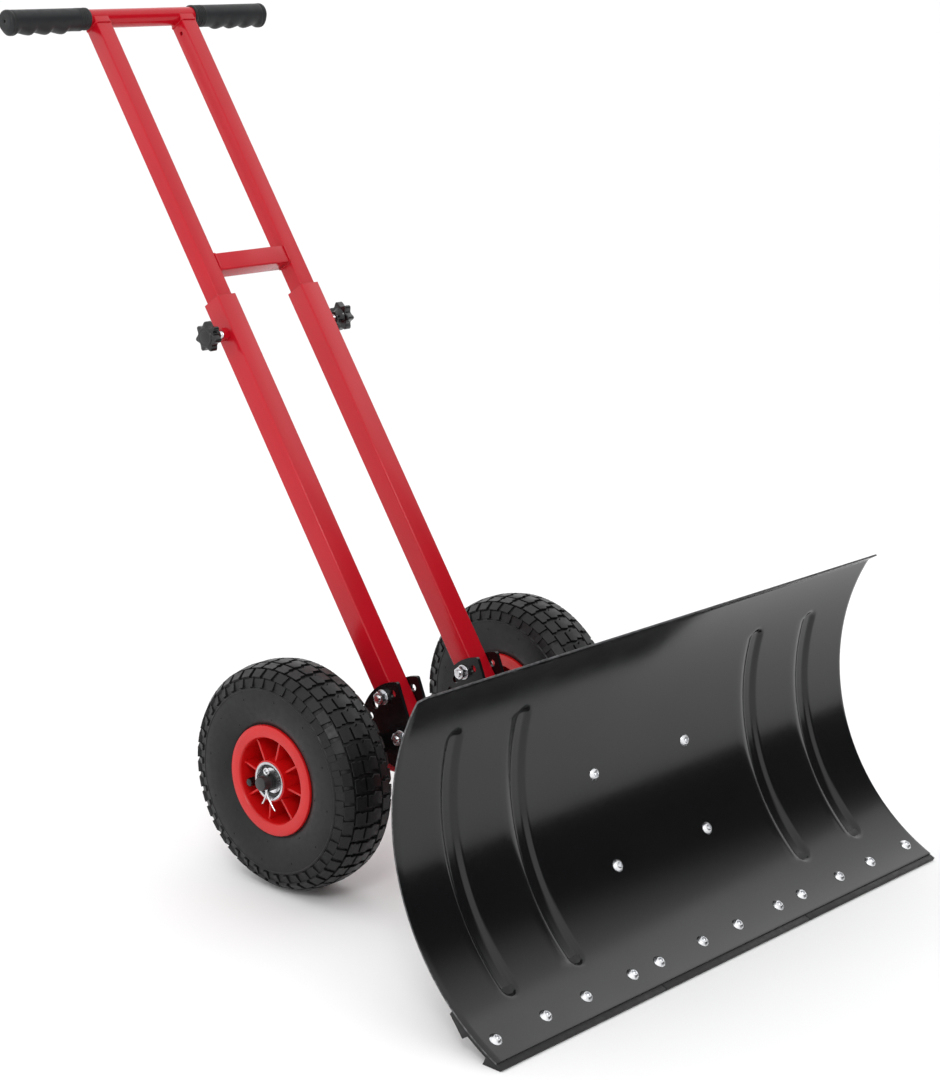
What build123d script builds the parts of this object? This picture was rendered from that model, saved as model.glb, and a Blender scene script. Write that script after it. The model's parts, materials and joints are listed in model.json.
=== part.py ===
from build123d import *
from math import asin, atan2, cos, degrees, hypot, radians, sin, sqrt, tan
import os

# Wheeled snow shovel. Millimetres. X runs along the axle, the blade faces -Y, the handle
# leans back towards +Y and +Z is up. Everything is built with the axle above Y = 0 and the
# floor at Z = 0, and is moved in Y at the end so that the origin is at the box's bottom centre.

# ---------------------------------------------------------------- clearances
RUNNING = 0.05          # radial clearance of a shaft in its hole
LOOSE = 0.3             # clearance between two moving bodies
BOLT_GAP = 0.2          # radial clearance of a bolt in its hole
SEAT_GAP = 0.01         # a flat seat's clearance over a curved face

# ---------------------------------------------------------------- blade
BLADE_WIDTH = 740.0
BLADE_THICK = 2.0
BLADE_RADIUS = 230.0            # hollow front face
BLADE_CENTRE_Y = -559.5
BLADE_CENTRE_Z = 217.3
BLADE_LOW_ANGLE = -66.0
BLADE_HIGH_ANGLE = 30.0
LIP_LENGTH = 13.6
LIP_RISE = 32.5                 # angle of the folded lip above level
BEAD_PLACES = (193.5, 293.0)    # distance of the pressed beads from the middle
BEAD_WIDTH = 25.0
BEAD_DEPTH = 3.5
BEAD_LOW_ANGLE = -52.5
BEAD_HIGH_ANGLE = 17.0

# ---------------------------------------------------------------- wear strips
STRIP_COUNT = 3
STRIP_GAP = 0.6
STRIP_TOP_ANGLE = -49.4
STRIP_STEP_ANGLE = -55.5
STRIP_NUT_ANGLE = -60.3
STRIP_FLAT = 1.8                # half of the flat land under the nuts, degrees of arc
STRIP_HEEL_ANGLE = -62.7
STRIP_TOP_THICK = 5.0
STRIP_STEP_THICK = 11.0
STRIP_MID_THICK = 3.6
STRIP_LIP_REACH = 7.4           # how far the lip runs on past the blade's edge
STRIP_BOLT_PLACES = (-102.0, -30.2, 30.2, 102.0)

# ---------------------------------------------------------------- fasteners (M8)
BOLT_RADIUS = 4.0
HEAD_RADIUS = 7.0
HEAD_HEIGHT = 4.0
NUT_FLATS = 13.0
NUT_HEIGHT = 6.5
WASHER_RADIUS = 8.5
WASHER_THICK = 1.6
BOLT_END = 2.5                  # bolt's end beyond its nut

# ---------------------------------------------------------------- wheels and axle
WHEEL_RADIUS = 127.0
WHEEL_PLACE = 187.0             # wheel's middle plane from the shovel's middle
TYRE_WIDTH = 76.0
TREAD_THICK = 7.0
GROOVE_DEPTH = 4.0
GROOVE_PLACE = 9.5
GROOVE_WIDTH = 3.0
BEAD_SEAT_RADIUS = 50.8
RIM_WALL = 3.3
FLANGE_RADIUS = 62.0
FLANGE_THICK = 4.0
RIM_WIDTH = 70.0
HUB_RADIUS = 23.0
HUB_BORE = 17.0
WEB_THICK = 4.0
RIB_COUNT = 8
RIB_THICK = 3.0
RIB_START = 10.5
RIB_SETBACK = 8.0               # from the flange's face down to the rib's edge
AXLE_RADIUS = 8.0
AXLE_END = 49.0                 # axle's end beyond the wheel's middle plane
PIN_PLACE = 39.0                # split pin beyond the wheel's middle plane
PIN_RADIUS = 1.5
CUP_RADIUS = 20.0
CUP_LENGTH = 13.0
CUP_WALL = 1.8
BALL_RADIUS = 2.6
BALL_CIRCLE = 14.7
BALL_COUNT = 10
RING_LENGTH = 7.0
SPACER_RADIUS = 11.0
VALVE_ANGLE = -18.0
VALVE_CIRCLE = 38.5
VALVE_RADIUS = 4.0
CAP_RADIUS = 4.6
CAP_LENGTH = 9.0

# ---------------------------------------------------------------- base frame
TUBE = 28.0                     # square tube of the base and of the handle's lower part
TUBE_WALL = 2.6
TUBE_CORNER = 2.5
HALF_SPACING = 65.3             # middle of each rail and handle leg from the middle
RAIL_REAR = 34.0                # rail's rear end behind the axle
SWIVEL_Y = -249.0               # swivel pin's place, in the front cross tube
CLAMP_RADIUS = 69.0             # clamp knob's distance behind the swivel pin
SWIVEL_RANGE = 30.0             # each way
SWIVEL_PIN_RADIUS = 8.0
SWIVEL_PLATE = 5.0
SWIVEL_GAP = 0.4
SLOT_WALL = 12.0                # plate left around the clamp slot
BACK_PLATE_REACH = 56.0         # back plate ahead of the swivel pin
BACK_PLATE_THICK = 4.0
BACK_PLATE_HALF = 93.0
BACK_PLATE_LOW = 72.0
BACK_PLATE_HIGH = 200.0
FLANGE_PLATE = 4.0
CENTRE_BOLT_X = 75.5
CENTRE_BOLT_ANGLES = (-8.8, -33.2)

# ---------------------------------------------------------------- handle
TILT = 34.7                     # lean of the handle from upright
PIVOT_Y = -63.5
PIVOT_Z = 158.0
EAR_THICK = 4.0
EAR_RADIUS = 62.5
LOCK_RADIUS = 49.5
LOCK_STEPS = (19.4, 0.0, -19.4, -38.0)   # lock holes, forward of the leg being positive
SLEEVE_TOP = 544.5              # top of the lower tube from the pivot bolt
LEG = 22.0                      # square tube of the upper part
LEG_WALL = 2.0
LEG_CORNER = 2.0
LEG_INSIDE = 250.0              # length of leg held in the lower tube
LEG_SHOULDER = 3.0              # leg's end below the top bar's axis, outside its fish-mouth
BAR_AXIS = 916.5                # top bar from the pivot bolt
BAR_RADIUS = 11.0
BAR_WALL = 2.0
MID_BAR = 587.0
VENT_RADIUS = 2.5
VENT_DROP = 24.0                # below the top bar's axis
GRIP_START = 80.0
GRIP_END = 196.5
GRIP_RADIUS = 13.1
GRIP_LOBES = (117.5, 141.0, 164.5, 188.0)
GRIP_LOBE_DROP = 16.8
GRIP_DIP_DROP = 14.2
GRIP_DIP_STEP = 11.8            # from a lobe back to the dip before it
GRIP_LEAD = 24.0                # where the first dip starts, before the first lobe
GRIP_TURN = 16.0                # turns the finger lobes from along the legs towards the floor
GRIP_CAP = 5.0                  # rubber past the bar's end
GRIP_END_ROUND = 2.5
GRIP_COLLAR_ROUND = 1.2
GRIP_VENT = 1.6
GRIP_KEEL = 18.0                # width of the lobes' ridge

# ---------------------------------------------------------------- star knobs
KNOB_PLACE = 502.0              # along the handle from the pivot bolt
KNOB_RADIUS = 17.5
KNOB_LOBES = 7
KNOB_STAR = 11.0
KNOB_NECK = 9.0
KNOB_NECK_RADIUS = 8.5
KNOB_EDGE = 2.0
KNOB_OUTLINE = ((0.0, 1.0), (0.22, 0.93), (0.5, 0.76), (0.78, 0.93))    # (lobe share, radius share)
STUD_INSIDE = 13.0              # length of a stud inside its knob
CLAMP_STUD = 22.0
CLAMP_WASHER_RADIUS = 11.0
STUD_RADIUS = 4.0
STUD_SHOWN = 6.0
STUD_TIP_GAP = 0.1
KNOB_SLOT_GAP = 0.15


# ================================================================ helpers
def tube_section(side, wall, corner):
    """Square tube's section in the XY plane."""
    outer = RectangleRounded(side, side, corner)
    return outer - Rectangle(side - 2 * wall, side - 2 * wall)


def ring(r_out, r_in, length, axis_plane=Plane.YZ):
    """Tube of the given length, centred on the plane, along the plane's normal."""
    face = Circle(r_out) - Circle(r_in)
    return extrude(axis_plane * face, length / 2, both=True)


def rod(radius, x0, x1, y=0.0, z=0.0):
    """Round bar along X between two places."""
    return Pos((x0 + x1) / 2, y, z) * Rot(0, 90, 0) * Cylinder(radius, abs(x1 - x0))


def hex_nut(flats=NUT_FLATS, height=NUT_HEIGHT, bore=BOLT_RADIUS):
    """Nut standing on the XY plane, open along Z."""
    body = extrude(RegularPolygon(flats / 2, 6, major_radius=False), height)
    crown = Pos(0, 0, height / 2) * Sphere(hypot(flats / 2 + 0.35, height / 2))
    return (body & crown) - Cylinder(bore, 3 * height)


def washer(radius=WASHER_RADIUS, thick=WASHER_THICK, bore=BOLT_RADIUS + BOLT_GAP):
    """Washer standing on the XY plane."""
    return extrude(Circle(radius) - Circle(bore), thick)


def dome_bolt(length, radius=BOLT_RADIUS, head_r=HEAD_RADIUS, head_h=HEAD_HEIGHT):
    """Button-head bolt: head above the XY plane, shank down along -Z."""
    ball = (head_r ** 2 + head_h ** 2) / (2 * head_h)
    head = Pos(0, 0, head_h - ball) * Sphere(ball) & Pos(0, 0, head_h) * Box(
        4 * head_r, 4 * head_r, 2 * head_h)
    socket = Pos(0, 0, head_h) * extrude(RegularPolygon(radius * 0.62, 6), -head_h * 0.7)
    shank = Pos(0, 0, -length / 2) * Cylinder(radius, length)
    return (head - socket) + shank


def hex_bolt(length, radius=BOLT_RADIUS, flats=NUT_FLATS):
    """Hexagon-head bolt: head above the XY plane, shank down along -Z."""
    head_h = radius * 1.3
    return hex_nut(flats, head_h, 0.01) + Pos(0, 0, head_h / 2) * Cylinder(radius, head_h) \
        + Pos(0, 0, -length / 2) * Cylinder(radius, length)


def polar(radius, angle):
    """Point of the blade's section, as Y and Z."""
    a = radians(angle)
    return (BLADE_CENTRE_Y + radius * cos(a), BLADE_CENTRE_Z + radius * sin(a))


def yz_face(points):
    """Flat face with its corners in the YZ plane."""
    wire = Polyline([(0, y, z) for y, z in points], close=True)
    return make_face(wire)


def along_x(face, x0, x1):
    """A YZ face pulled out between two places along X."""
    return Pos(x0, 0, 0) * extrude(face, x1 - x0, dir=(1, 0, 0))


def arc_band(r_in, r_out, low, high):
    """Section of a plate that follows the blade's arc, in the YZ plane."""
    mid = (low + high) / 2
    inner = ThreePointArc(*[(0, *polar(r_in, a)) for a in (low, mid, high)])
    outer = ThreePointArc(*[(0, *polar(r_out, a)) for a in (high, mid, low)])
    ends = [Line(inner @ 1, outer @ 0), Line(outer @ 1, inner @ 0)]
    return make_face([inner, ends[0], outer, ends[1]])


def on_blade(shape, x, angle, radius):
    """Puts a piece at a place on the blade, its +Z towards the hollow's centre."""
    y, z = polar(radius, angle)
    return Pos(x, y, z) * Rot(angle + 90, 0, 0) * shape


def group(pieces):
    """Separate solids that share a node."""
    return Compound(list(pieces))


def mirrored(shape):
    """The same piece on the other side."""
    return mirror(shape, Plane.YZ)


# The handle's own frame: X across, Y to the back, Z up along the legs, from the pivot bolt.
HANDLE = Pos(0, PIVOT_Y, PIVOT_Z) * Rot(-TILT, 0, 0)


# ================================================================ blade
def blade_sheet():
    back = BLADE_RADIUS + BLADE_THICK
    face = arc_band(BLADE_RADIUS, back, BLADE_LOW_ANGLE, BLADE_HIGH_ANGLE)
    sheet = along_x(face, -BLADE_WIDTH / 2, BLADE_WIDTH / 2)
    # folded lip along the top
    rise = radians(LIP_RISE)
    ahead = (-cos(rise), sin(rise))
    inner = polar(BLADE_RADIUS, BLADE_HIGH_ANGLE)
    outer = polar(back, BLADE_HIGH_ANGLE)
    turn = radians(BLADE_HIGH_ANGLE + 90 - (180 - LIP_RISE))
    grow = BLADE_THICK * tan(-turn / 2)
    tangent = (-sin(radians(BLADE_HIGH_ANGLE)), cos(radians(BLADE_HIGH_ANGLE)))
    knee = (outer[0] + tangent[0] * grow, outer[1] + tangent[1] * grow)
    lip = [inner, outer, knee,
           (inner[0] + ahead[0] * LIP_LENGTH + ahead[1] * BLADE_THICK,
            inner[1] + ahead[1] * LIP_LENGTH - ahead[0] * BLADE_THICK),
           (inner[0] + ahead[0] * LIP_LENGTH, inner[1] + ahead[1] * LIP_LENGTH)]
    sheet += along_x(yz_face(lip), -BLADE_WIDTH / 2, BLADE_WIDTH / 2)
    # pressed beads, hollow in front and standing out behind
    for x in [s * p for p in BEAD_PLACES for s in (-1, 1)]:
        sheet += bead(x, BLADE_THICK, BLADE_THICK)
        sheet -= bead(x, 0.0, 0.0)
    # bolt holes
    hole = Cylinder(BOLT_RADIUS + BOLT_GAP, 12)
    for x, angle in centre_bolt_places():
        sheet -= on_blade(hole, x, angle, BLADE_RADIUS)
    for x in strip_bolt_places():
        sheet -= on_blade(hole, x, STRIP_NUT_ANGLE, BLADE_RADIUS)
    return sheet


def bead(x, sink, grow):
    """Rounded bar along the blade's arc: its section is a flat segment of a circle."""
    half = BEAD_WIDTH / 2 + grow
    depth = BEAD_DEPTH + sink
    base = BLADE_RADIUS - 0.5 if sink == 0 else BLADE_RADIUS + 0.5
    low, high = BEAD_LOW_ANGLE - grow / 4, BEAD_HIGH_ANGLE + grow / 4
    arc = ThreePointArc((-half, BLADE_RADIUS + sink / 2, 0), (0, BLADE_RADIUS + depth, 0),
                        (half, BLADE_RADIUS + sink / 2, 0))
    foot = Polyline([(half, BLADE_RADIUS + sink / 2, 0), (half, base, 0), (-half, base, 0),
                     (-half, BLADE_RADIUS + sink / 2, 0)])
    section = make_face([arc, foot])
    bar = revolve(section, Axis.X, high - low)
    return Pos(x, BLADE_CENTRE_Y, BLADE_CENTRE_Z) * Rot(low, 0, 0) * bar


def centre_bolt_places():
    return [(s * CENTRE_BOLT_X, a) for a in CENTRE_BOLT_ANGLES for s in (-1, 1)]


def strip_middle(index):
    return (index - (STRIP_COUNT - 1) / 2) * BLADE_WIDTH / STRIP_COUNT


def strip_bolt_places():
    return [strip_middle(i) + p for i in range(STRIP_COUNT) for p in STRIP_BOLT_PLACES]


def wear_strip(index):
    back = BLADE_RADIUS + BLADE_THICK
    edge = polar(back, BLADE_LOW_ANGLE)
    front = polar(BLADE_RADIUS, BLADE_LOW_ANGLE)
    a = radians(BLADE_LOW_ANGLE)
    down = (sin(a), -cos(a))
    step = polar(BLADE_RADIUS + 0.9, BLADE_LOW_ANGLE)
    toe = (step[0] + down[0] * STRIP_LIP_REACH, step[1] + down[1] * STRIP_LIP_REACH)
    heel_r = BLADE_CENTRE_Z / sin(radians(-STRIP_HEEL_ANGLE))
    heel = polar(heel_r, STRIP_HEEL_ANGLE)
    points = [
        toe, step, edge,
        *[polar(back, BLADE_LOW_ANGLE + (STRIP_TOP_ANGLE - BLADE_LOW_ANGLE) * k / 8)
          for k in range(1, 9)],
        polar(back + STRIP_TOP_THICK, STRIP_TOP_ANGLE),
        polar(back + STRIP_STEP_THICK, STRIP_STEP_ANGLE),
        polar(back + STRIP_MID_THICK, STRIP_STEP_ANGLE - 0.6),
        polar(back + STRIP_MID_THICK, STRIP_NUT_ANGLE + STRIP_FLAT),
        polar(back + STRIP_MID_THICK, STRIP_NUT_ANGLE - STRIP_FLAT),
        polar(back + STRIP_MID_THICK, STRIP_HEEL_ANGLE),
        heel, (toe[0] + 2.2, 0.0)]
    length = BLADE_WIDTH / STRIP_COUNT - STRIP_GAP
    x = strip_middle(index)
    strip = along_x(yz_face(points), x - length / 2, x + length / 2)
    # the blade's own arc is cut out, so that the strip lies close against its back
    strip -= Pos(x, BLADE_CENTRE_Y, BLADE_CENTRE_Z) * Rot(0, 90, 0) * Cylinder(
        back, length + 2) & along_x(
        yz_face([front, edge, *[polar(back + 1, BLADE_LOW_ANGLE + k) for k in range(0, 20)],
                 polar(BLADE_RADIUS - 4, STRIP_TOP_ANGLE + 3),
                 polar(BLADE_RADIUS - 4, BLADE_LOW_ANGLE)]),
        x - length / 2 - 1, x + length / 2 + 1)
    for place in [s * p for p in BEAD_PLACES for s in (-1, 1)]:
        strip -= bead(place, BLADE_THICK + LOOSE, BLADE_THICK + LOOSE)
    for place in STRIP_BOLT_PLACES:
        strip -= on_blade(Cylinder(BOLT_RADIUS + BOLT_GAP, 40), x + place, STRIP_NUT_ANGLE, back)
    return strip


def blade_bolts(places, grip):
    """Bolts with their heads on the blade's front face."""
    seat = BLADE_RADIUS - HEAD_RADIUS ** 2 / (2 * BLADE_RADIUS) - SEAT_GAP
    return group([on_blade(dome_bolt(grip + NUT_HEIGHT + 2), x, a, seat)
                  for x, a in places])


def blade_nuts(places, grip):
    nut = Rot(180, 0, 0) * hex_nut()
    return group([on_blade(nut, x, a, BLADE_RADIUS + grip) for x, a in places])


# ================================================================ swivel bracket
BACK_FACE = SWIVEL_Y - BACK_PLATE_REACH
PLATE_TOP_Z = WHEEL_RADIUS + TUBE / 2 + SWIVEL_GAP
PLATE_LOW_Z = WHEEL_RADIUS - TUBE / 2 - SWIVEL_GAP


def back_plate():
    height = BACK_PLATE_HIGH - BACK_PLATE_LOW
    plate = extrude(RectangleRounded(2 * BACK_PLATE_HALF, height, 12), BACK_PLATE_THICK)
    plate = Pos(0, BACK_FACE, BACK_PLATE_LOW + height / 2) * Rot(90, 0, 0) * plate
    return plate


def blade_rib(side):
    """Upright web with a curved flange that lies on the blade's back."""
    back = BLADE_RADIUS + BLADE_THICK
    outer = back + FLANGE_PLATE
    top = BACK_PLATE_HIGH - 4
    low = BACK_PLATE_LOW + 4
    high_angle = degrees(asin((top - BLADE_CENTRE_Z) / outer))
    low_angle = degrees(asin((low - BLADE_CENTRE_Z) / outer))
    wall = BACK_FACE - BACK_PLATE_THICK
    arc = ThreePointArc(*[(0, *polar(back + 1, a)) for a in (
        low_angle, (low_angle + high_angle) / 2, high_angle)])
    web = make_face([arc, Polyline([arc @ 1, (0, wall, (arc @ 1).Z), (0, wall, (arc @ 0).Z),
                                    arc @ 0])])
    web_x = CENTRE_BOLT_X - NUT_FLATS
    rib = along_x(web, web_x - FLANGE_PLATE / 2, web_x + FLANGE_PLATE / 2)
    flange = arc_band(back, outer, low_angle, high_angle)
    rib += along_x(flange, web_x - FLANGE_PLATE / 2, CENTRE_BOLT_X + NUT_FLATS + 2)
    for angle in CENTRE_BOLT_ANGLES:
        rib -= on_blade(Cylinder(BOLT_RADIUS + BOLT_GAP, 30), CENTRE_BOLT_X, angle, back)
    return rib if side > 0 else mirrored(rib)


def swivel_top_plate():
    """Sector plate over the cross tubes, with the clamp slot on an arc about the pin."""
    spread = SWIVEL_RANGE + 12
    reach = CLAMP_RADIUS + BOLT_RADIUS + SLOT_WALL
    rim = [(reach * sin(radians(a)), reach * cos(radians(a))) for a in (-spread, 0, spread)]
    arc = ThreePointArc(*[(x, y, 0) for x, y in rim])
    front_half = 62.0
    sides = Polyline([arc @ 1, (front_half, -BACK_PLATE_REACH + 22, 0),
                      (front_half, -BACK_PLATE_REACH, 0), (-front_half, -BACK_PLATE_REACH, 0),
                      (-front_half, -BACK_PLATE_REACH + 22, 0), arc @ 0])
    plate = extrude(make_face([arc, sides]), SWIVEL_PLATE)
    slot_half = STUD_RADIUS + BOLT_GAP + LOOSE
    slot = clamp_slot(CLAMP_RADIUS - slot_half, CLAMP_RADIUS + slot_half, slot_half)
    plate -= Pos(0, 0, -1) * extrude(slot, SWIVEL_PLATE + 2)
    plate -= Cylinder(SWIVEL_PIN_RADIUS + RUNNING, 4 * SWIVEL_PLATE)
    return Pos(0, SWIVEL_Y, PLATE_TOP_Z) * plate


def clamp_slot(r_in, r_out, end_r):
    """Arc slot with round ends, about the origin and symmetrical about +Y."""
    def at(r, a):
        return (r * sin(radians(a)), r * cos(radians(a)), 0)
    run = SWIVEL_RANGE + 1
    inner = ThreePointArc(at(r_in, -run), at(r_in, 0), at(r_in, run))
    outer = ThreePointArc(at(r_out, run), at(r_out, 0), at(r_out, -run))
    bulge = degrees(end_r / CLAMP_RADIUS)
    right = ThreePointArc(at(r_in, run), at(CLAMP_RADIUS, run + bulge), at(r_out, run))
    left = ThreePointArc(at(r_out, -run), at(CLAMP_RADIUS, -run - bulge), at(r_in, -run))
    return make_face([inner, right, outer, left])


def swivel_low_plate():
    lug = 26.0
    half = 46.0
    plate = make_hull([*Circle(lug).edges(),
                       Line((-half, -BACK_PLATE_REACH), (half, -BACK_PLATE_REACH))])
    plate = extrude(plate, -SWIVEL_PLATE) - Cylinder(SWIVEL_PIN_RADIUS + RUNNING, 20)
    return Pos(0, SWIVEL_Y, PLATE_LOW_Z) * plate


def swivel_pin():
    """Pin with a head above the top plate; its nut is below the bottom plate."""
    top = PLATE_TOP_Z + SWIVEL_PLATE + LOOSE
    low = PLATE_LOW_Z - SWIVEL_PLATE - LOOSE - 13 - 3
    head = Pos(0, 0, top) * hex_nut(24.0, 9.0, 0.01) + Pos(0, 0, top + 4.5) * Cylinder(6, 9)
    shank = Pos(0, 0, (top + low) / 2) * Cylinder(SWIVEL_PIN_RADIUS, top - low)
    return Pos(0, SWIVEL_Y, 0) * (head + shank)


def swivel_nut():
    z = PLATE_LOW_Z - SWIVEL_PLATE - LOOSE
    return Pos(0, SWIVEL_Y, z) * Rot(180, 0, 0) * hex_nut(24.0, 13.0, SWIVEL_PIN_RADIUS)


# ================================================================ base frame
REAR_CROSS_Y = SWIVEL_Y + CLAMP_RADIUS
AXLE_Z = WHEEL_RADIUS


def rail(side):
    front = SWIVEL_Y + TUBE / 2
    face = Plane.XZ * tube_section(TUBE, TUBE_WALL, TUBE_CORNER)
    tube = Pos(side * HALF_SPACING, front, AXLE_Z) * extrude(face, front - RAIL_REAR)
    tube -= rod(AXLE_RADIUS + RUNNING, -400, 400, 0, AXLE_Z)
    return tube


def cross_tube(y, half):
    face = Plane.YZ * tube_section(TUBE, TUBE_WALL, TUBE_CORNER)
    return Pos(0, y, AXLE_Z) * extrude(face, half, both=True)


def front_cross_tube():
    half = HALF_SPACING + TUBE / 2
    tube = cross_tube(SWIVEL_Y, half)
    # a welded bush carries the swivel pin between the tube's walls
    inner = TUBE / 2 - TUBE_WALL
    bush = Pos(0, SWIVEL_Y, AXLE_Z) * Cylinder(SWIVEL_PIN_RADIUS + 2.2, 2 * inner)
    tube += bush
    return tube - Pos(0, SWIVEL_Y, AXLE_Z) * Cylinder(SWIVEL_PIN_RADIUS + RUNNING, 2 * TUBE)


def rear_cross_tube():
    tube = cross_tube(REAR_CROSS_Y, HALF_SPACING - TUBE / 2)
    return tube - Pos(0, REAR_CROSS_Y, AXLE_Z + TUBE / 2) * Cylinder(
        STUD_RADIUS + RUNNING, TUBE)


def clamp_nut():
    """Weld nut under the rear cross tube's top wall, for the swivel clamp's stud."""
    z = AXLE_Z + TUBE / 2 - TUBE_WALL
    return Pos(0, REAR_CROSS_Y, z) * Rot(180, 0, 0) * hex_nut(bore=STUD_RADIUS + RUNNING)


def tube_plug():
    """Plastic plug in the end of a square tube, its cap on the XY plane."""
    fit = TUBE - 2 * TUBE_WALL
    cap = extrude(RectangleRounded(TUBE, TUBE, TUBE_CORNER), 2.5)
    cap = fillet(cap.faces().sort_by(Axis.Z)[-1].edges(), 1.5)
    spigot = Pos(0, 0, -7) * extrude(Rectangle(fit, fit) - Rectangle(fit - 4, fit - 4), 7)
    return cap + spigot


def tube_plugs():
    rear = [Pos(s * HALF_SPACING, RAIL_REAR, AXLE_Z) * Rot(-90, 0, 0) * tube_plug()
            for s in (-1, 1)]
    half = HALF_SPACING + TUBE / 2
    sides = [Pos(s * half, SWIVEL_Y, AXLE_Z) * Rot(0, 90 * s, 0) * tube_plug()
             for s in (-1, 1)]
    return group(rear + sides)


def ear_outline():
    """Side outline of an ear plate: a fan over the pivot bolt, with its foot on the rail."""
    def fan(angle):
        # angle is the lean back from upright
        a = radians(angle)
        return (0, PIVOT_Y + EAR_RADIUS * sin(a), PIVOT_Z + EAR_RADIUS * cos(a))
    arc = ThreePointArc(fan(6.5), fan(46), fan(86))
    rail_low = AXLE_Z - TUBE / 2
    foot = Polyline([arc @ 1, (0, -15.0, 142.0), (0, -24.0, 129.5), (0, -56.0, 121.5),
                     (0, -83.0, rail_low + 1.5), (0, -92.5, rail_low + 6.0),
                     (0, -88.5, 146.0), arc @ 0])
    return make_face([arc, foot])


def ear_plate(side, place):
    """place is 1 for the plate outside the leg and -1 for the one inside."""
    middle = side * HALF_SPACING + place * side * (TUBE + EAR_THICK) / 2
    plate = along_x(ear_outline(), middle - EAR_THICK / 2, middle + EAR_THICK / 2)
    corners = plate.edges().filter_by(Axis.X)
    plate = fillet(corners, 3.0)
    bore = BOLT_RADIUS + BOLT_GAP
    plate -= HANDLE * rod(bore, -200, 200)
    for step in LOCK_STEPS:
        a = radians(step)
        hole = rod(bore, -200, 200, -LOCK_RADIUS * sin(a), LOCK_RADIUS * cos(a))
        plate -= HANDLE * hole
    return plate


# ================================================================ handle, lower part
def lower_tube(side):
    face = tube_section(TUBE, TUBE_WALL, TUBE_CORNER)
    tube = Pos(side * HALF_SPACING, 0, 0) * extrude(face, SLEEVE_TOP)
    # the foot is rounded about the pivot bolt
    half_disc = Pos(side * HALF_SPACING, 0, 0) * extrude(
        Plane.YZ * (Circle(TUBE / 2) & Pos(0, -TUBE / 2) * Rectangle(2 * TUBE, TUBE)),
        TUBE / 2, both=True)
    inner = TUBE - 2 * TUBE_WALL
    half_disc -= Pos(side * HALF_SPACING, 0, 0) * Box(inner, 2 * TUBE, 2 * TUBE)
    tube += half_disc
    bore = BOLT_RADIUS + BOLT_GAP
    tube -= rod(bore, -200, 200)
    tube -= rod(bore, -200, 200, 0, LOCK_RADIUS)
    outer = side * (HALF_SPACING + TUBE / 2)
    tube -= rod(STUD_RADIUS + BOLT_GAP, outer - 5, outer + 5, 0, KNOB_PLACE)
    return HANDLE * tube


def bracket_faces(side):
    """Outer faces of a bracket's two plates along X, the left-hand one first."""
    half = TUBE / 2 + EAR_THICK
    return side * HALF_SPACING - half, side * HALF_SPACING + half


def bracket_spots():
    """Side and place along the handle of every bolt through the brackets."""
    return [(side, along) for along in (0.0, LOCK_RADIUS) for side in (-1, 1)]


def cross_bolts():
    """Bolts through the brackets, all with their heads on the right."""
    bolts = []
    grip = TUBE + 2 * EAR_THICK + 2 * WASHER_THICK
    for side, along in bracket_spots():
        low, high = bracket_faces(side)
        bolt = Rot(0, 90, 0) * hex_bolt(grip + NUT_HEIGHT + BOLT_END)
        bolts.append(HANDLE * Pos(high + WASHER_THICK, 0, along) * bolt)
    return group(bolts)


def cross_washers():
    pieces = []
    for side, along in bracket_spots():
        low, high = bracket_faces(side)
        pieces.append(HANDLE * Pos(low, 0, along) * Rot(0, -90, 0) * washer())
        pieces.append(HANDLE * Pos(high, 0, along) * Rot(0, 90, 0) * washer())
    return group(pieces)


def cross_nuts():
    pieces = []
    for side, along in bracket_spots():
        low, high = bracket_faces(side)
        pieces.append(HANDLE * Pos(low - WASHER_THICK, 0, along) * Rot(0, -90, 0) * hex_nut())
    return group(pieces)


def knob_nuts():
    outer = HALF_SPACING + TUBE / 2
    return [HANDLE * Pos(s * outer, 0, KNOB_PLACE) * Rot(0, 90 * s, 0)
            * hex_nut(bore=STUD_RADIUS + RUNNING) for s in (-1, 1)]


# ================================================================ handle, upper part
def leg(side):
    low = SLEEVE_TOP - LEG_INSIDE
    face = tube_section(LEG, LEG_WALL, LEG_CORNER)
    tube = Pos(side * HALF_SPACING, 0, low) * extrude(face, BAR_AXIS - LEG_SHOULDER - low)
    tube -= rod(BAR_RADIUS, -BLADE_WIDTH, BLADE_WIDTH, 0, BAR_AXIS)
    inner = side * (HALF_SPACING - LEG / 2)
    tube -= rod(VENT_RADIUS, inner - 2 * LEG_WALL, inner + 2 * LEG_WALL, 0, BAR_AXIS - VENT_DROP)
    return HANDLE * tube


def mid_bar():
    half = HALF_SPACING - LEG / 2
    face = Plane.YZ * tube_section(LEG, LEG_WALL, LEG_CORNER)
    return HANDLE * Pos(0, 0, MID_BAR) * extrude(face, half, both=True)


def top_bar():
    length = 2 * (GRIP_END - GRIP_CAP)
    return HANDLE * Pos(0, 0, BAR_AXIS) * ring(BAR_RADIUS, BAR_RADIUS - BAR_WALL, length)


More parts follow.
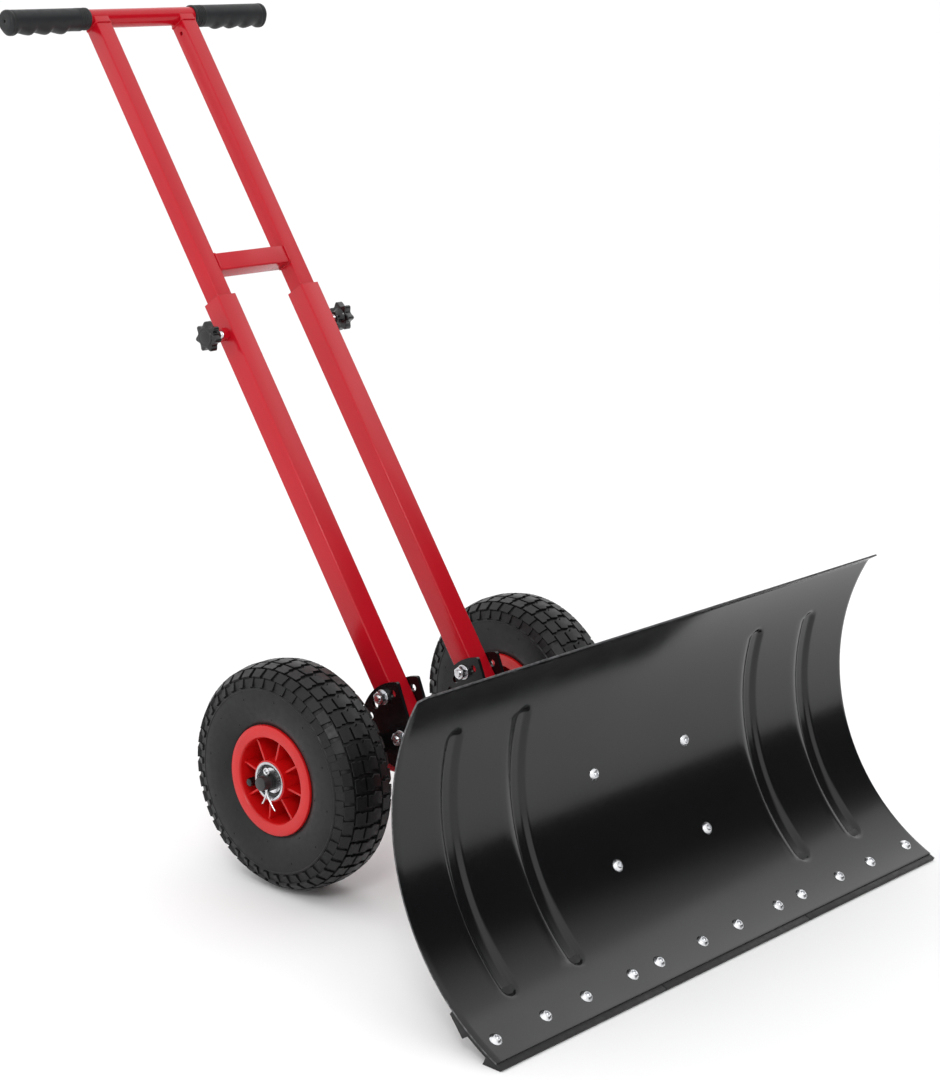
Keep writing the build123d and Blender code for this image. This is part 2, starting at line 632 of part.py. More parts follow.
def grip(side):
    """Rubber grip with finger lobes below; built on the right and mirrored."""
    body = rod(GRIP_RADIUS, GRIP_START, GRIP_END)
    body = fillet(body.edges().filter_by(GeomType.CIRCLE).sort_by(Axis.X)[-1:],
                  GRIP_END_ROUND)
    body = fillet(body.edges().filter_by(GeomType.CIRCLE).sort_by(Axis.X)[:1],
                  GRIP_COLLAR_ROUND)
    wave = []
    for x in GRIP_LOBES:
        wave.append((x - GRIP_DIP_STEP, -GRIP_DIP_DROP))
        wave.append((x, -GRIP_LOBE_DROP))
    start = (GRIP_LOBES[0] - GRIP_LEAD, -GRIP_RADIUS + 1.0)
    line = Spline([(x, 0, z) for x, z in [start] + wave + [(GRIP_END - 1.5, -GRIP_RADIUS)]])
    top = Polyline([line @ 1, (GRIP_END - 1.5, 0, 0), (start[0], 0, 0), line @ 0])
    keel = extrude(make_face([line, top]), GRIP_KEEL / 2, both=True)
    oval = Pos(0, 0, -GRIP_LOBE_DROP / 2) * extrude(
        Plane.YZ * SlotOverall(GRIP_LOBE_DROP + 21.0, 20.0, rotation=90), 300, both=True)
    body += keel & oval
    body -= rod(BAR_RADIUS, GRIP_START - GRIP_CAP, GRIP_END - GRIP_CAP)
    body -= rod(GRIP_VENT, GRIP_END - 2 * GRIP_CAP, GRIP_END + GRIP_CAP)
    body = HANDLE * Pos(0, 0, BAR_AXIS) * Rot(GRIP_TURN, 0, 0) * body
    return body if side > 0 else mirrored(body)


# ================================================================ star knobs
def star():
    """Star knob standing on the XY plane: neck below, star above."""
    outline = []
    for i in range(KNOB_LOBES):
        base = 360 / KNOB_LOBES * i
        for part, r in KNOB_OUTLINE:
            a = radians(base + part * 360 / KNOB_LOBES)
            outline.append((KNOB_RADIUS * r * cos(a), KNOB_RADIUS * r * sin(a)))
    head = make_face(Spline(outline, periodic=True))
    head = Pos(0, 0, KNOB_NECK) * extrude(head, KNOB_STAR)
    top = head.faces().sort_by(Axis.Z)[-1]
    head = fillet(top.edges(), KNOB_EDGE)
    neck = Pos(0, 0, KNOB_NECK / 2 + 0.5) * Cone(KNOB_NECK_RADIUS - 1.5, KNOB_NECK_RADIUS + 1,
                                                  KNOB_NECK + 1)
    knob = head + neck
    return knob - Pos(0, 0, STUD_INSIDE / 2 - 1) * Cylinder(STUD_RADIUS + RUNNING, STUD_INSIDE + 2)


def stud(length):
    """Steel stud moulded into the star knob, along Z through the neck's foot."""
    body = Pos(0, 0, (STUD_INSIDE - length) / 2) * Cylinder(STUD_RADIUS, length + STUD_INSIDE)
    return chamfer(body.edges().sort_by(Axis.Z)[:1], 0.8)


def handle_knob_place(side):
    """Foot of the knob's neck, with +Z pointing outwards."""
    x = side * (HALF_SPACING + TUBE / 2 + NUT_HEIGHT + STUD_SHOWN)
    return HANDLE * Pos(x, 0, KNOB_PLACE) * Rot(0, 90 * side, 0)


def handle_stud(side):
    reach = NUT_HEIGHT + STUD_SHOWN + (TUBE - LEG) / 2 - STUD_TIP_GAP
    return handle_knob_place(side) * stud(reach)


def clamp_knob_place():
    z = PLATE_TOP_Z + SWIVEL_PLATE + WASHER_THICK + KNOB_SLOT_GAP
    return Pos(0, REAR_CROSS_Y, z)


def clamp_stud():
    return clamp_knob_place() * stud(CLAMP_STUD)


def clamp_washer():
    plate = washer(CLAMP_WASHER_RADIUS, WASHER_THICK, STUD_RADIUS + RUNNING)
    return Pos(0, REAR_CROSS_Y, PLATE_TOP_Z + SWIVEL_PLATE + KNOB_SLOT_GAP) * plate


# ================================================================ wheels
def spin(points):
    """Solid of revolution about X from (x, radius) points."""
    return revolve(make_face(Polyline([(x, r, 0) for x, r in points], close=True)), Axis.X, 360)


def wheel_place(side):
    return Pos(side * WHEEL_PLACE, 0, AXLE_Z)


def rim(side):
    half = RIM_WIDTH / 2
    deep = half - CUP_LENGTH
    wall = BEAD_SEAT_RADIUS - RIM_WALL
    bead = half - FLANGE_THICK
    profile = [(-half, CUP_RADIUS), (-half, HUB_RADIUS), (-WEB_THICK / 2, HUB_RADIUS + 1),
               (-WEB_THICK / 2, wall), (-half + 1, wall + 0.6), (-half, wall + 2.0),
               (-half, FLANGE_RADIUS - 2), (-half + 1.2, FLANGE_RADIUS),
               (-bead, FLANGE_RADIUS), (-bead, BEAD_SEAT_RADIUS)]
    profile += [(-x, r) for x, r in reversed(profile)]
    profile += [(deep, CUP_RADIUS), (deep, HUB_BORE), (-deep, HUB_BORE), (-deep, CUP_RADIUS)]
    body = spin(profile)
    depth = half - RIB_SETBACK
    for face in (-1, 1):
        for i in range(RIB_COUNT):
            web = Polyline([(0, HUB_RADIUS - 1.5, 0), (face * (half - 5), HUB_RADIUS - 1.5, 0),
                            (face * depth, wall + 1, 0), (0, wall + 1, 0)], close=True)
            rib = extrude(make_face(web), RIB_THICK / 2, both=True)
            body += Rot(RIB_START + 360 / RIB_COUNT * i, 0, 0) * rib
    # way out for the valve, just outboard of the web
    hole = Rot(VALVE_ANGLE, 0, 0) * Pos(0, wall + 2, 0) * Rot(90, 0, 0) * Cylinder(
        VALVE_RADIUS + 1, 8)
    body -= Pos(valve_plane(), 0, 0) * hole
    if side < 0:
        body = mirrored(body)
    return wheel_place(side) * body


def valve_plane():
    """How far outboard of the wheel's middle the valve leaves the rim."""
    return WEB_THICK / 2 + VALVE_RADIUS + 2.5


def tyre_profile():
    half = TYRE_WIDTH / 2
    r = WHEEL_RADIUS
    seat = BEAD_SEAT_RADIUS + 0.1
    bead = RIM_WIDTH / 2 - FLANGE_THICK - 0.1
    outer = [(-bead, FLANGE_RADIUS + 0.6), (-bead - 3.0, FLANGE_RADIUS + 4.6),
             (-half + 1.4, 76), (-half + 0.05, 92), (-half + 1.2, 106), (-half + 6, 117.5),
             (-half + 12, r - 3.6), (-half + 22, r - 1.2), (0, r)]
    outer += [(-x, y) for x, y in reversed(outer[:-1])]
    inside = [(bead - 10, seat + 4), (bead - 3.5, 63), (half - 4.5, 78), (half - 5, 92),
              (half - 6.5, 104), (half - 13, 114.5), (half - 22, r - TREAD_THICK - 1.2),
              (0, r - TREAD_THICK)]
    inside += [(-x, y) for x, y in reversed(inside[:-1])]
    shell = Spline([(x, y, 0) for x, y in outer])
    hollow = Spline([(x, y, 0) for x, y in inside])
    foot_1 = Polyline([shell @ 1, (bead, seat, 0), (bead - 10, seat, 0), hollow @ 0])
    foot_2 = Polyline([hollow @ 1, (-bead + 10, seat, 0), (-bead, seat, 0), shell @ 0])
    return make_face([shell, foot_1, hollow, foot_2])


def tyre(side):
    body = revolve(tyre_profile(), Axis.X, 360)
    for x in (-GROOVE_PLACE, GROOVE_PLACE):
        cut = ring(WHEEL_RADIUS + 2, WHEEL_RADIUS - GROOVE_DEPTH, GROOVE_WIDTH)
        body -= Pos(x, 0, 0) * cut
    return wheel_place(side) * body


def inner_tube(side):
    """Air tube: a thin-walled ring inside the tyre."""
    low = BEAD_SEAT_RADIUS + 1.2
    high = WHEEL_RADIUS - TREAD_THICK - 1.6
    middle = (low + high) / 2
    tall = (high - low) / 2
    wide = TYRE_WIDTH / 2 - 7.5
    section = Pos(0, middle) * (Ellipse(wide, tall) - Ellipse(wide - 2, tall - 2))
    return wheel_place(side) * revolve(section, Axis.X, 360)


def valve(side):
    """Rubber stem: out of the rim towards the hub, then outboard."""
    x = valve_plane()
    start = BEAD_SEAT_RADIUS + 0.4
    bend = 5.5
    tip = RIM_WIDTH / 2 - 6 - CAP_LENGTH + 3
    path = FilletPolyline([(x, start, 0), (x, VALVE_CIRCLE, 0), (tip, VALVE_CIRCLE, 0)],
                          radius=bend)
    body = sweep(Plane(path @ 0, z_dir=path % 0) * Circle(VALVE_RADIUS), path)
    body = Rot(VALVE_ANGLE, 0, 0) * body
    if side < 0:
        body = mirrored(body)
    return wheel_place(side) * body


def valve_cap(side):
    tip = RIM_WIDTH / 2 - 6 - CAP_LENGTH + 3
    body = Pos(tip + CAP_LENGTH / 2, VALVE_CIRCLE, 0) * Rot(0, 90, 0) * Cylinder(
        CAP_RADIUS, CAP_LENGTH)
    body = chamfer(body.edges().filter_by(GeomType.CIRCLE).sort_by(Axis.X)[-1:], 1.2)
    body = Rot(VALVE_ANGLE, 0, 0) * body
    if side < 0:
        body = mirrored(body)
    return wheel_place(side) * body


def bearing_places(side):
    """Both bearings of a wheel: each one's sign along X, outboard first."""
    return [side, -side]


def bearing_cups(side):
    half = RIM_WIDTH / 2
    race = BALL_CIRCLE + BALL_RADIUS + 0.1
    deep = half - CUP_LENGTH
    shield = deep + RING_LENGTH
    points = [(deep, CUP_RADIUS), (half, CUP_RADIUS), (half, CUP_RADIUS + 1.4),
              (half + 0.9, CUP_RADIUS + 1.2), (half + 0.9, CUP_RADIUS - 1.0),
              (half - 0.5, CUP_RADIUS - CUP_WALL), (shield, CUP_RADIUS - CUP_WALL),
              (shield, SPACER_RADIUS + 1.6), (shield - 0.8, SPACER_RADIUS + 1.6),
              (shield - 0.8, race), (deep, race)]
    return group([wheel_place(side) * spin([(sign * x, r) for x, r in points])
                  for sign in bearing_places(side)])


def bearing_rings(side):
    """Inner rings: they stay still on the axle."""
    middle = RIM_WIDTH / 2 - CUP_LENGTH + RING_LENGTH / 2
    r_out = BALL_CIRCLE - BALL_RADIUS - 0.1
    return [wheel_place(side) * Pos(sign * middle, 0, 0) * ring(
        r_out, AXLE_RADIUS + RUNNING, RING_LENGTH) for sign in bearing_places(side)]


def bearing_balls(side):
    middle = RIM_WIDTH / 2 - CUP_LENGTH + RING_LENGTH / 2 - 0.4
    balls = []
    for sign in bearing_places(side):
        for i in range(BALL_COUNT):
            balls.append(wheel_place(side) * Rot(360 / BALL_COUNT * i, 0, 0)
                         * Pos(sign * middle, BALL_CIRCLE, 0) * Sphere(BALL_RADIUS))
    return group(balls)


def axle():
    end = WHEEL_PLACE + AXLE_END
    body = rod(AXLE_RADIUS, -end, end)
    body = chamfer(body.edges().filter_by(GeomType.CIRCLE), 1.2)
    for s in (-1, 1):
        body -= Pos(s * (WHEEL_PLACE + PIN_PLACE), 0, 0) * Cylinder(PIN_RADIUS + 0.2, 30)
    return Pos(0, 0, AXLE_Z) * body


def axle_tubes(spans, radius=SPACER_RADIUS):
    """Spacer tubes on the axle; spans are right-hand places, and both sides get one."""
    pieces = []
    for x0, x1 in spans:
        for s in (-1, 1):
            pieces.append(Pos(s * (x0 + x1) / 2, 0, AXLE_Z) * ring(
                radius, AXLE_RADIUS + RUNNING, x1 - x0))
    return group(pieces)


def split_pins():
    pins = []
    reach = AXLE_RADIUS + 22
    for s in (-1, 1):
        eye = Pos(0, 0, AXLE_RADIUS + 4.4) * Rot(0, 90, 0) * Torus(3.4, 1.1)
        stem = Pos(0, 0, 0.5) * Cylinder(PIN_RADIUS, 2 * AXLE_RADIUS + 3)
        pin = eye + stem
        for turn, length in ((15, reach), (-13, reach - 4)):
            bent = Pos(0, 0, -length / 2 + AXLE_RADIUS) * Cylinder(PIN_RADIUS * 0.72, length)
            bent = Pos(0, 0, -AXLE_RADIUS) * Rot(turn, 0, 0) * bent
            pin += bent & Pos(0, 0, -AXLE_RADIUS - 20) * Box(60, 60, 40)
        pins.append(Pos(s * (WHEEL_PLACE + PIN_PLACE), 0, AXLE_Z) * pin)
    return group(pins)


# ================================================================ assembly
def build():
    sides = {"left": -1, "right": 1}
    strip_back = BLADE_RADIUS + BLADE_THICK + STRIP_MID_THICK
    strip_grip = strip_back * cos(radians(STRIP_FLAT)) - BLADE_RADIUS + SEAT_GAP
    rib_grip = BLADE_THICK + FLANGE_PLATE
    strip_places = [(x, STRIP_NUT_ANGLE) for x in strip_bolt_places()]
    rail_side = HALF_SPACING + TUBE / 2
    ring_in = WHEEL_PLACE - (RIM_WIDTH / 2 - CUP_LENGTH + RING_LENGTH)
    ring_gap = RIM_WIDTH / 2 - CUP_LENGTH
    ring_out = WHEEL_PLACE + ring_gap + RING_LENGTH
    pieces = {
        "blade_sheet": blade_sheet(),
        "wear_strips": group([wear_strip(i) for i in range(STRIP_COUNT)]),
        "strip_bolts": blade_bolts(strip_places, strip_grip),
        "strip_nuts": blade_nuts(strip_places, strip_grip),
        "blade_bolts": blade_bolts(centre_bolt_places(), rib_grip),
        "blade_nuts": blade_nuts(centre_bolt_places(), rib_grip),
        "blade_back_plate": back_plate(),
        "swivel_top_plate": swivel_top_plate(),
        "swivel_low_plate": swivel_low_plate(),
        "blade_ribs": group([blade_rib(s) for s in (-1, 1)]),
        "swivel_pin": swivel_pin(),
        "swivel_nut": swivel_nut(),
        "front_cross_tube": front_cross_tube(),
        "rear_cross_tube": rear_cross_tube(),
        "clamp_washer": clamp_washer(),
        "clamp_stud": clamp_stud(),
        "clamp_knob": clamp_knob_place() * star(),
        "tube_plugs": tube_plugs(),
        "axle": axle(),
        "axle_spacers": axle_tubes([(rail_side + LOOSE, ring_in - 0.05)]),
        "hub_spacers": axle_tubes([(WHEEL_PLACE - ring_gap + 0.05,
                                    WHEEL_PLACE + ring_gap - 0.05)]),
        "axle_washers": axle_tubes([(ring_out + 0.05, ring_out + 2)], SPACER_RADIUS + 3),
        "axle_collars": axle_tubes([(ring_out + 2.1, WHEEL_PLACE + PIN_PLACE
                                     - PIN_RADIUS - 0.3)], AXLE_RADIUS + 2.4),
        "bearing_rings": group([r for s in (-1, 1) for r in bearing_rings(s)]),
        "split_pins": split_pins(),
        "ear_bolts": cross_bolts(),
        "ear_washers": cross_washers(),
        "ear_nuts": cross_nuts(),
        "weld_nuts": group([*knob_nuts(), clamp_nut()]),
        "mid_bar": mid_bar(),
        "top_bar": top_bar(),
    }
    for name, s in sides.items():
        pieces[name + "_rail"] = rail(s)
        pieces[name + "_ears"] = group([ear_plate(s, place) for place in (-1, 1)])
        pieces[name + "_lower_tube"] = lower_tube(s)
        pieces[name + "_leg"] = leg(s)
        pieces[name + "_grip"] = grip(s)
        pieces[name + "_knob"] = handle_knob_place(s) * star()
        pieces[name + "_knob_stud"] = handle_stud(s)
        pieces[name + "_rim"] = rim(s)
        pieces[name + "_tyre"] = tyre(s)
        pieces[name + "_inner_tube"] = inner_tube(s)
        pieces[name + "_valve"] = valve(s)
        pieces[name + "_valve_cap"] = valve_cap(s)
        pieces[name + "_bearing_cups"] = bearing_cups(s)
        pieces[name + "_bearing_balls"] = bearing_balls(s)
    return pieces


pieces = build()
lowest = min(p.bounding_box().min.Y for p in pieces.values())
highest = max(p.bounding_box().max.Y for p in pieces.values())
shift = -(lowest + highest) / 2
os.makedirs("parts", exist_ok=True)
for node, shape in pieces.items():
    export_step(Pos(0, shift, 0) * shape, f"parts/{node}.step")
print(f"{len(pieces)} nodes, moved {shift:.3f} along Y")
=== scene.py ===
import json
from math import asin, atan2, cos, degrees, hypot, pi, radians, sin

import bmesh
import bpy
from mathutils import Matrix, Vector


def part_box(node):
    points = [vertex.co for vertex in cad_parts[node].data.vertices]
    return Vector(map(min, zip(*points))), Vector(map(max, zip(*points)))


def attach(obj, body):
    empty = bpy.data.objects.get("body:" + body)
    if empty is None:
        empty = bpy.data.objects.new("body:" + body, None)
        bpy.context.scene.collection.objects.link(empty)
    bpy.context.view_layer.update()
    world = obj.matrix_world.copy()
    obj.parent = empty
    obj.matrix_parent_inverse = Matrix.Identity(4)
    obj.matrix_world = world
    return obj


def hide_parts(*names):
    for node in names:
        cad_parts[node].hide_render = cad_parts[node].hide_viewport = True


# Wheeled snow shovel. Metres; X along the axle, the blade faces -Y, +Z up.

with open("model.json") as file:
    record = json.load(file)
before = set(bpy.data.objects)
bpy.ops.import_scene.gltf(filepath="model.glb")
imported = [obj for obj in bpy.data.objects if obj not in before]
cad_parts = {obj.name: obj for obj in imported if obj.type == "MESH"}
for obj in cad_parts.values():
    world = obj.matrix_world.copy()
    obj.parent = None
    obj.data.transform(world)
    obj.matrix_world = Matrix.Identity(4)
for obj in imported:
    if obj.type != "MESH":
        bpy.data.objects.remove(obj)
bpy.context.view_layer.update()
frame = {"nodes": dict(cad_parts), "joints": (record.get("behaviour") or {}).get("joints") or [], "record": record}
record = frame["record"]
joints = {joint["name"]: joint for joint in frame["joints"]}

MM = 0.001
SIDES = (("left", -1), ("right", 1))


def moved(place):
    return Matrix.Translation(place)


def rotated(angle, axis):
    return Matrix.Rotation(angle, 4, axis)


def faced(side, axis):
    """Nothing for the plus side, half a turn for the minus side."""
    return Matrix.Identity(4) if side > 0 else rotated(pi, axis)


# ======== places, read from the frame
axle_low, axle_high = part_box("axle")
AXLE = (axle_low + axle_high) / 2
AXLE_RADIUS = (axle_high.z - axle_low.z) / 2
WHEEL_X = joints["right_wheel_spin"]["pos_m"][0]

lower_low, lower_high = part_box("right_lower_tube")
TUBE = lower_high.x - lower_low.x
TUBE_WALL = 2.6 * MM
HALF_SPACING = (lower_low.x + lower_high.x) / 2
lean = joints["handle_height"]["axis"]
TILT = atan2(lean[1], lean[2])
PIVOT = Vector((0, lower_low.y + TUBE / 2, lower_low.z + TUBE / 2))
HANDLE = moved(PIVOT) @ rotated(-TILT, "X")
SLEEVE = (lower_high.z - PIVOT.z - TUBE / 2 * sin(TILT)) / cos(TILT)
leg_low, leg_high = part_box("right_leg")
LEG = leg_high.x - leg_low.x
bar_low, bar_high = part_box("top_bar")
BAR_RADIUS = (bar_high.z - bar_low.z) / 2
BAR_AXIS = ((bar_low.z + bar_high.z) / 2 - PIVOT.z) / cos(TILT)
BAR_HALF = bar_high.x
LEG_FOOT = (leg_low.z - PIVOT.z + LEG / 2 * sin(TILT)) / cos(TILT)
mid_low, mid_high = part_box("mid_bar")
MID_BAR = ((mid_low.z + mid_high.z) / 2 - PIVOT.z) / cos(TILT)
knob_pos = Vector(joints["right_knob_spin"]["pos_m"])
KNOB_PLACE = (knob_pos.z - PIVOT.z) / cos(TILT)
grip_low, grip_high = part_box("right_grip")

BLADE_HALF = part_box("blade_sheet")[1].x
BLADE_THICK = 2 * MM
BLADE_RADIUS = 230 * MM
BLADE_Y = PIVOT.y - 496 * MM        # middle of the blade's arc
BLADE_Z = 217.3 * MM
BLADE_LOW = radians(-66)
BLADE_TOP = radians(30)
LIP_LENGTH = 13.6 * MM
LIP_RISE = radians(32.5)
LIP_BENDS = 4
LIP_STEP = 0.5 * MM
BLADE_STEPS = 150
BEADS = (-293 * MM, -193.5 * MM, 193.5 * MM, 293 * MM)
BEAD_WIDTH = 25 * MM
BEAD_DEPTH = 3.5 * MM
BEAD_LOW = radians(-52.5)
BEAD_HIGH = radians(17)
STRIP_NUTS = radians(-60.3)
STRIP_GAP = 0.6 * MM
HEAD_RADIUS = 7 * MM
HEAD_HEIGHT = 4 * MM
NUT_FLATS = 13 * MM
NUT_HEIGHT = 6.5 * MM
WASHER_THICK = 1.6 * MM
STUD_RADIUS = 4 * MM
WELD_SPREAD = 1.1 * MM
WELD_HEIGHT = 2.2 * MM
WELD_CORNER = 3.4 * MM
WELD_BORE = 0.84                     # share of the seam's outline that is open
WELD_SINK = 0.6 * MM
TUBE_CORNER = 1.8 * MM
LEG_WALL = 2 * MM
LEG_CORNER = 1.6 * MM
FRAME_WALL = 2.5 * MM
FRAME_CORNER = 2.5 * MM
LEG_SHORT = 3 * MM                   # the leg stops this far below the bar's axis
VENT_RADIUS = 2.5 * MM
VENT_HALF_DEPTH = 4 * MM
VENT_BELOW_BAR = 24 * MM
TUBE_MOUTH = 24 * MM                 # depth of the open end
BAR_WALL = 2 * MM
STRIP_BOLT_PLACES = (-102.0, -30.2, 30.2, 102.0)
BLADE_BOLT_X = 75.5 * MM
BLADE_BOLT_ANGLES = (-8.8, -33.2)
EAR_BOLT_RISE = 49.5 * MM
EAR_PLATES = 4 * MM
EAR_HEAD_HEIGHT = 5.2 * MM
SPLIT_PIN_OUT = 39 * MM


# ======== modelling helpers
def clear():
    """Back to object mode with nothing selected."""
    if bpy.context.object and bpy.context.object.mode != "OBJECT":
        bpy.ops.object.mode_set(mode="OBJECT")
    bpy.ops.object.select_all(action="DESELECT")


def hold(obj):
    """Makes this the one selected, active object."""
    clear()
    obj.select_set(True)
    bpy.context.view_layer.objects.active = obj
    return obj


def edit(obj):
    hold(obj)
    bpy.ops.object.mode_set(mode="EDIT")
    bpy.ops.mesh.select_mode(type="VERT")
    bpy.ops.mesh.select_all(action="SELECT")


def made(name):
    obj = bpy.context.object
    obj.name = name
    obj.data.name = name
    return obj


def pick(obj, kind, test):
    """In edit mode, selects what passes the test, which gets the middle and the direction."""
    bpy.ops.mesh.select_mode(type=kind)
    bpy.ops.mesh.select_all(action="DESELECT")
    mesh = bmesh.from_edit_mesh(obj.data)
    if kind == "VERT":
        for v in mesh.verts:
            v.select_set(test(v.co, v.normal))
    elif kind == "EDGE":
        for e in mesh.edges:
            a, b = e.verts[0].co, e.verts[1].co
            e.select_set(test((a + b) / 2, (b - a).normalized()))
    else:
        for f in mesh.faces:
            f.select_set(test(f.calc_center_median(), f.normal))
    mesh.select_flush_mode()
    bmesh.update_edit_mesh(obj.data)


def settle(obj, place=None):
    """Puts a finished piece in place and leaves its object at the origin, unturned."""
    hold(obj)
    if place is not None:
        obj.matrix_world = place @ obj.matrix_world
    bpy.ops.object.transform_apply(location=True, rotation=True, scale=True)
    return obj


def apply(obj, kind, **settings):
    """Adds a modifier with these settings and applies it."""
    hold(obj)
    bpy.ops.object.modifier_add(type=kind)
    modifier = obj.modifiers[-1]
    for key, value in settings.items():
        setattr(modifier, key, value)
    bpy.ops.object.modifier_apply(modifier=modifier.name)
    return obj


def smooth(obj, angle=35):
    hold(obj)
    bpy.ops.object.shade_smooth_by_angle(angle=radians(angle))
    return obj


def soften(obj, width, segments=2, angle=40):
    """Rounds every edge sharper than the angle, then shades the piece smooth."""
    apply(obj, "BEVEL", width=width, segments=segments, limit_method="ANGLE",
          angle_limit=radians(angle), harden_normals=False, use_clamp_overlap=True)
    return smooth(obj)


def trace(name, points):
    """Draws an outline in the order given, from a single point."""
    clear()
    bpy.ops.mesh.primitive_plane_add(size=MM)
    obj = made(name)
    edit(obj)
    bpy.ops.mesh.merge(type="CENTER")
    bpy.ops.transform.translate(value=points[0])
    for a, b in zip(points, points[1:]):
        bpy.ops.mesh.extrude_vertices_move(
            TRANSFORM_OT_translate={"value": Vector(b) - Vector(a)})
    return obj


def pull(way):
    """In edit mode, extrudes what is selected by a vector."""
    bpy.ops.mesh.extrude_region_move(TRANSFORM_OT_translate={"value": way})


def face_out():
    """In edit mode, turns every face outwards."""
    bpy.ops.mesh.select_all(action="SELECT")
    bpy.ops.mesh.normals_make_consistent(inside=False)


def closed_face(obj):
    bpy.ops.mesh.select_all(action="SELECT")
    bpy.ops.mesh.edge_face_add()


def slab(name, points, depth):
    """An outline filled and pulled out by a vector."""
    obj = trace(name, points)
    closed_face(obj)
    pull(depth)
    face_out()
    return settle(obj)


def turned(name, profile, steps, loop=False, centre=(0, 0, 0), axis=(1, 0, 0)):
    """A profile of (along, radius) points turned about X; loop closes the profile first."""
    obj = trace(name, [(x, r, 0) for x, r in profile])
    if loop:
        closed_face(obj)
        bpy.ops.mesh.delete(type="ONLY_FACE")
    bpy.ops.mesh.select_all(action="SELECT")
    bpy.ops.mesh.spin(steps=steps, angle=2 * pi, center=centre, axis=axis)
    bpy.ops.mesh.select_all(action="SELECT")
    bpy.ops.mesh.remove_doubles(threshold=0.005 * MM)
    bpy.ops.mesh.normals_make_consistent(inside=False)
    return settle(obj)


def copied(obj, name, place):
    """A copy with its own mesh, put in place."""
    twin = obj.copy()
    twin.data = obj.data.copy()
    twin.name = name
    twin.data.name = name
    bpy.context.scene.collection.objects.link(twin)
    return settle(twin, place)


def joined(objs, name):
    clear()
    for obj in objs:
        obj.select_set(True)
    bpy.context.view_layer.objects.active = objs[0]
    if len(objs) > 1:
        bpy.ops.object.join()
    return made(name)


def drop(obj):
    bpy.data.objects.remove(obj)


def cut(obj, cutter):
    """Takes the cutter's shape out of a piece and drops the cutter."""
    apply(obj, "BOOLEAN", object=cutter, operation="DIFFERENCE", solver="EXACT")
    drop(cutter)
    return obj


def turned_out(obj):
    """Makes every face point outwards again, as after a mirror."""
    edit(obj)
    bpy.ops.mesh.normals_make_consistent(inside=False)
    clear()
    return obj


def mirrored(obj, name):
    """The same piece on the other side of the shovel's middle."""
    twin = copied(obj, name, Matrix.Scale(-1, 4, (1, 0, 0)))
    return turned_out(twin)


def weighted_push(obj, weight, strength, direction="NORMAL"):
    """Moves each vertex by its weight times the strength, in metres."""
    group = obj.vertex_groups.new(name="push")
    for v in obj.data.vertices:
        share = weight(v.co)
        if share > 0:
            group.add([v.index], min(1.0, share), "REPLACE")
    apply(obj, "DISPLACE", strength=strength, mid_level=0.0, direction=direction,
          vertex_group="push")
    obj.vertex_groups.clear()
    return obj


def in_mm(section):
    return [(x * MM, r * MM) for x, r in section]


def both_sides(section):
    """A half section that ends at the middle, with its other half."""
    half = in_mm(section)
    return half + [(-x, r) for x, r in reversed(half[:-1])]


def ease(t):
    """A smooth run from 0 to 1."""
    t = max(0.0, min(1.0, t))
    return t * t * (3 - 2 * t)


def finish(obj, material, body, slot, *nodes):
    """Gives a piece its material and its body, and hides the nodes that it stands for; the slot is not used."""
    if material is not None:
        obj.data.materials.clear()
        obj.data.materials.append(material)
    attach(obj, body)
    if nodes:
        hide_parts(*nodes)
    return obj


# ======== materials
class Nodes:
    """A material's node tree with short ways to add to it."""

    def __init__(self, name):
        self.material = bpy.data.materials.new(name)
        self.material.use_nodes = True
        self.tree = self.material.node_tree
        self.shader = self.tree.nodes["Principled BSDF"]
        self.place = self.tree.nodes.new("ShaderNodeTexCoord").outputs["Object"]

    def add(self, kind, links=None, **settings):
        node = self.tree.nodes.new(kind)
        for key, value in settings.items():
            if key in node.inputs.keys() or key.replace("_", " ") in node.inputs.keys():
                node.inputs[key if key in node.inputs.keys() else key.replace("_", " ")] \
                    .default_value = value
            else:
                setattr(node, key, value)
        for key, source in (links or {}).items():
            self.tree.links.new(source, node.inputs[key])
        return node

    def noise(self, scale, detail=3.0, roughness=0.5):
        return self.add("ShaderNodeTexNoise", {"Vector": self.place}, Scale=scale,
                        Detail=detail, Roughness=roughness).outputs["Fac"]

    def spread(self, source, low, high, to_low, to_high):
        return self.add("ShaderNodeMapRange", {"Value": source}, From_Min=low, From_Max=high,
                        To_Min=to_low, To_Max=to_high).outputs["Result"]

    def colours(self, factor, first, second):
        node = self.add("ShaderNodeMix", {0: factor}, data_type="RGBA")
        node.inputs[6].default_value = (*first, 1)
        node.inputs[7].default_value = (*second, 1)
        return node.outputs[2]

    def bump(self, height, strength, distance):
        node = self.add("ShaderNodeBump", {"Height": height}, Strength=strength,
                        Distance=distance)
        return node.outputs["Normal"]

    def set(self, **sockets):
        for key, value in sockets.items():
            name = key.replace("_", " ")
            if isinstance(value, bpy.types.NodeSocket):
                self.tree.links.new(value, self.shader.inputs[name])
            else:
                self.shader.inputs[name].default_value = value
        return self.material


def powder_coat(name, colour, deep, roughness, peel=0.12, shine=0.5):
    """Gloss powder coat: slight orange peel, faint cloudiness, fine dust of rub marks."""
    n = Nodes(name)
    cloud = n.noise(14.0, 4.0)
    rub = n.noise(220.0, 6.0, 0.7)
    tone = n.colours(n.spread(cloud, 0.35, 0.65, 0.0, 1.0), colour, deep)
    gloss = n.spread(n.add("ShaderNodeMath", {0: cloud, 1: rub}, operation="MULTIPLY")
                     .outputs[0], 0.15, 0.4, roughness - 0.02, roughness + 0.03)
    skin = n.bump(n.noise(520.0, 2.0), peel, 0.02 * MM)
    return n.set(Base_Color=tone, Roughness=gloss, Normal=skin, Specular_IOR_Level=shine)


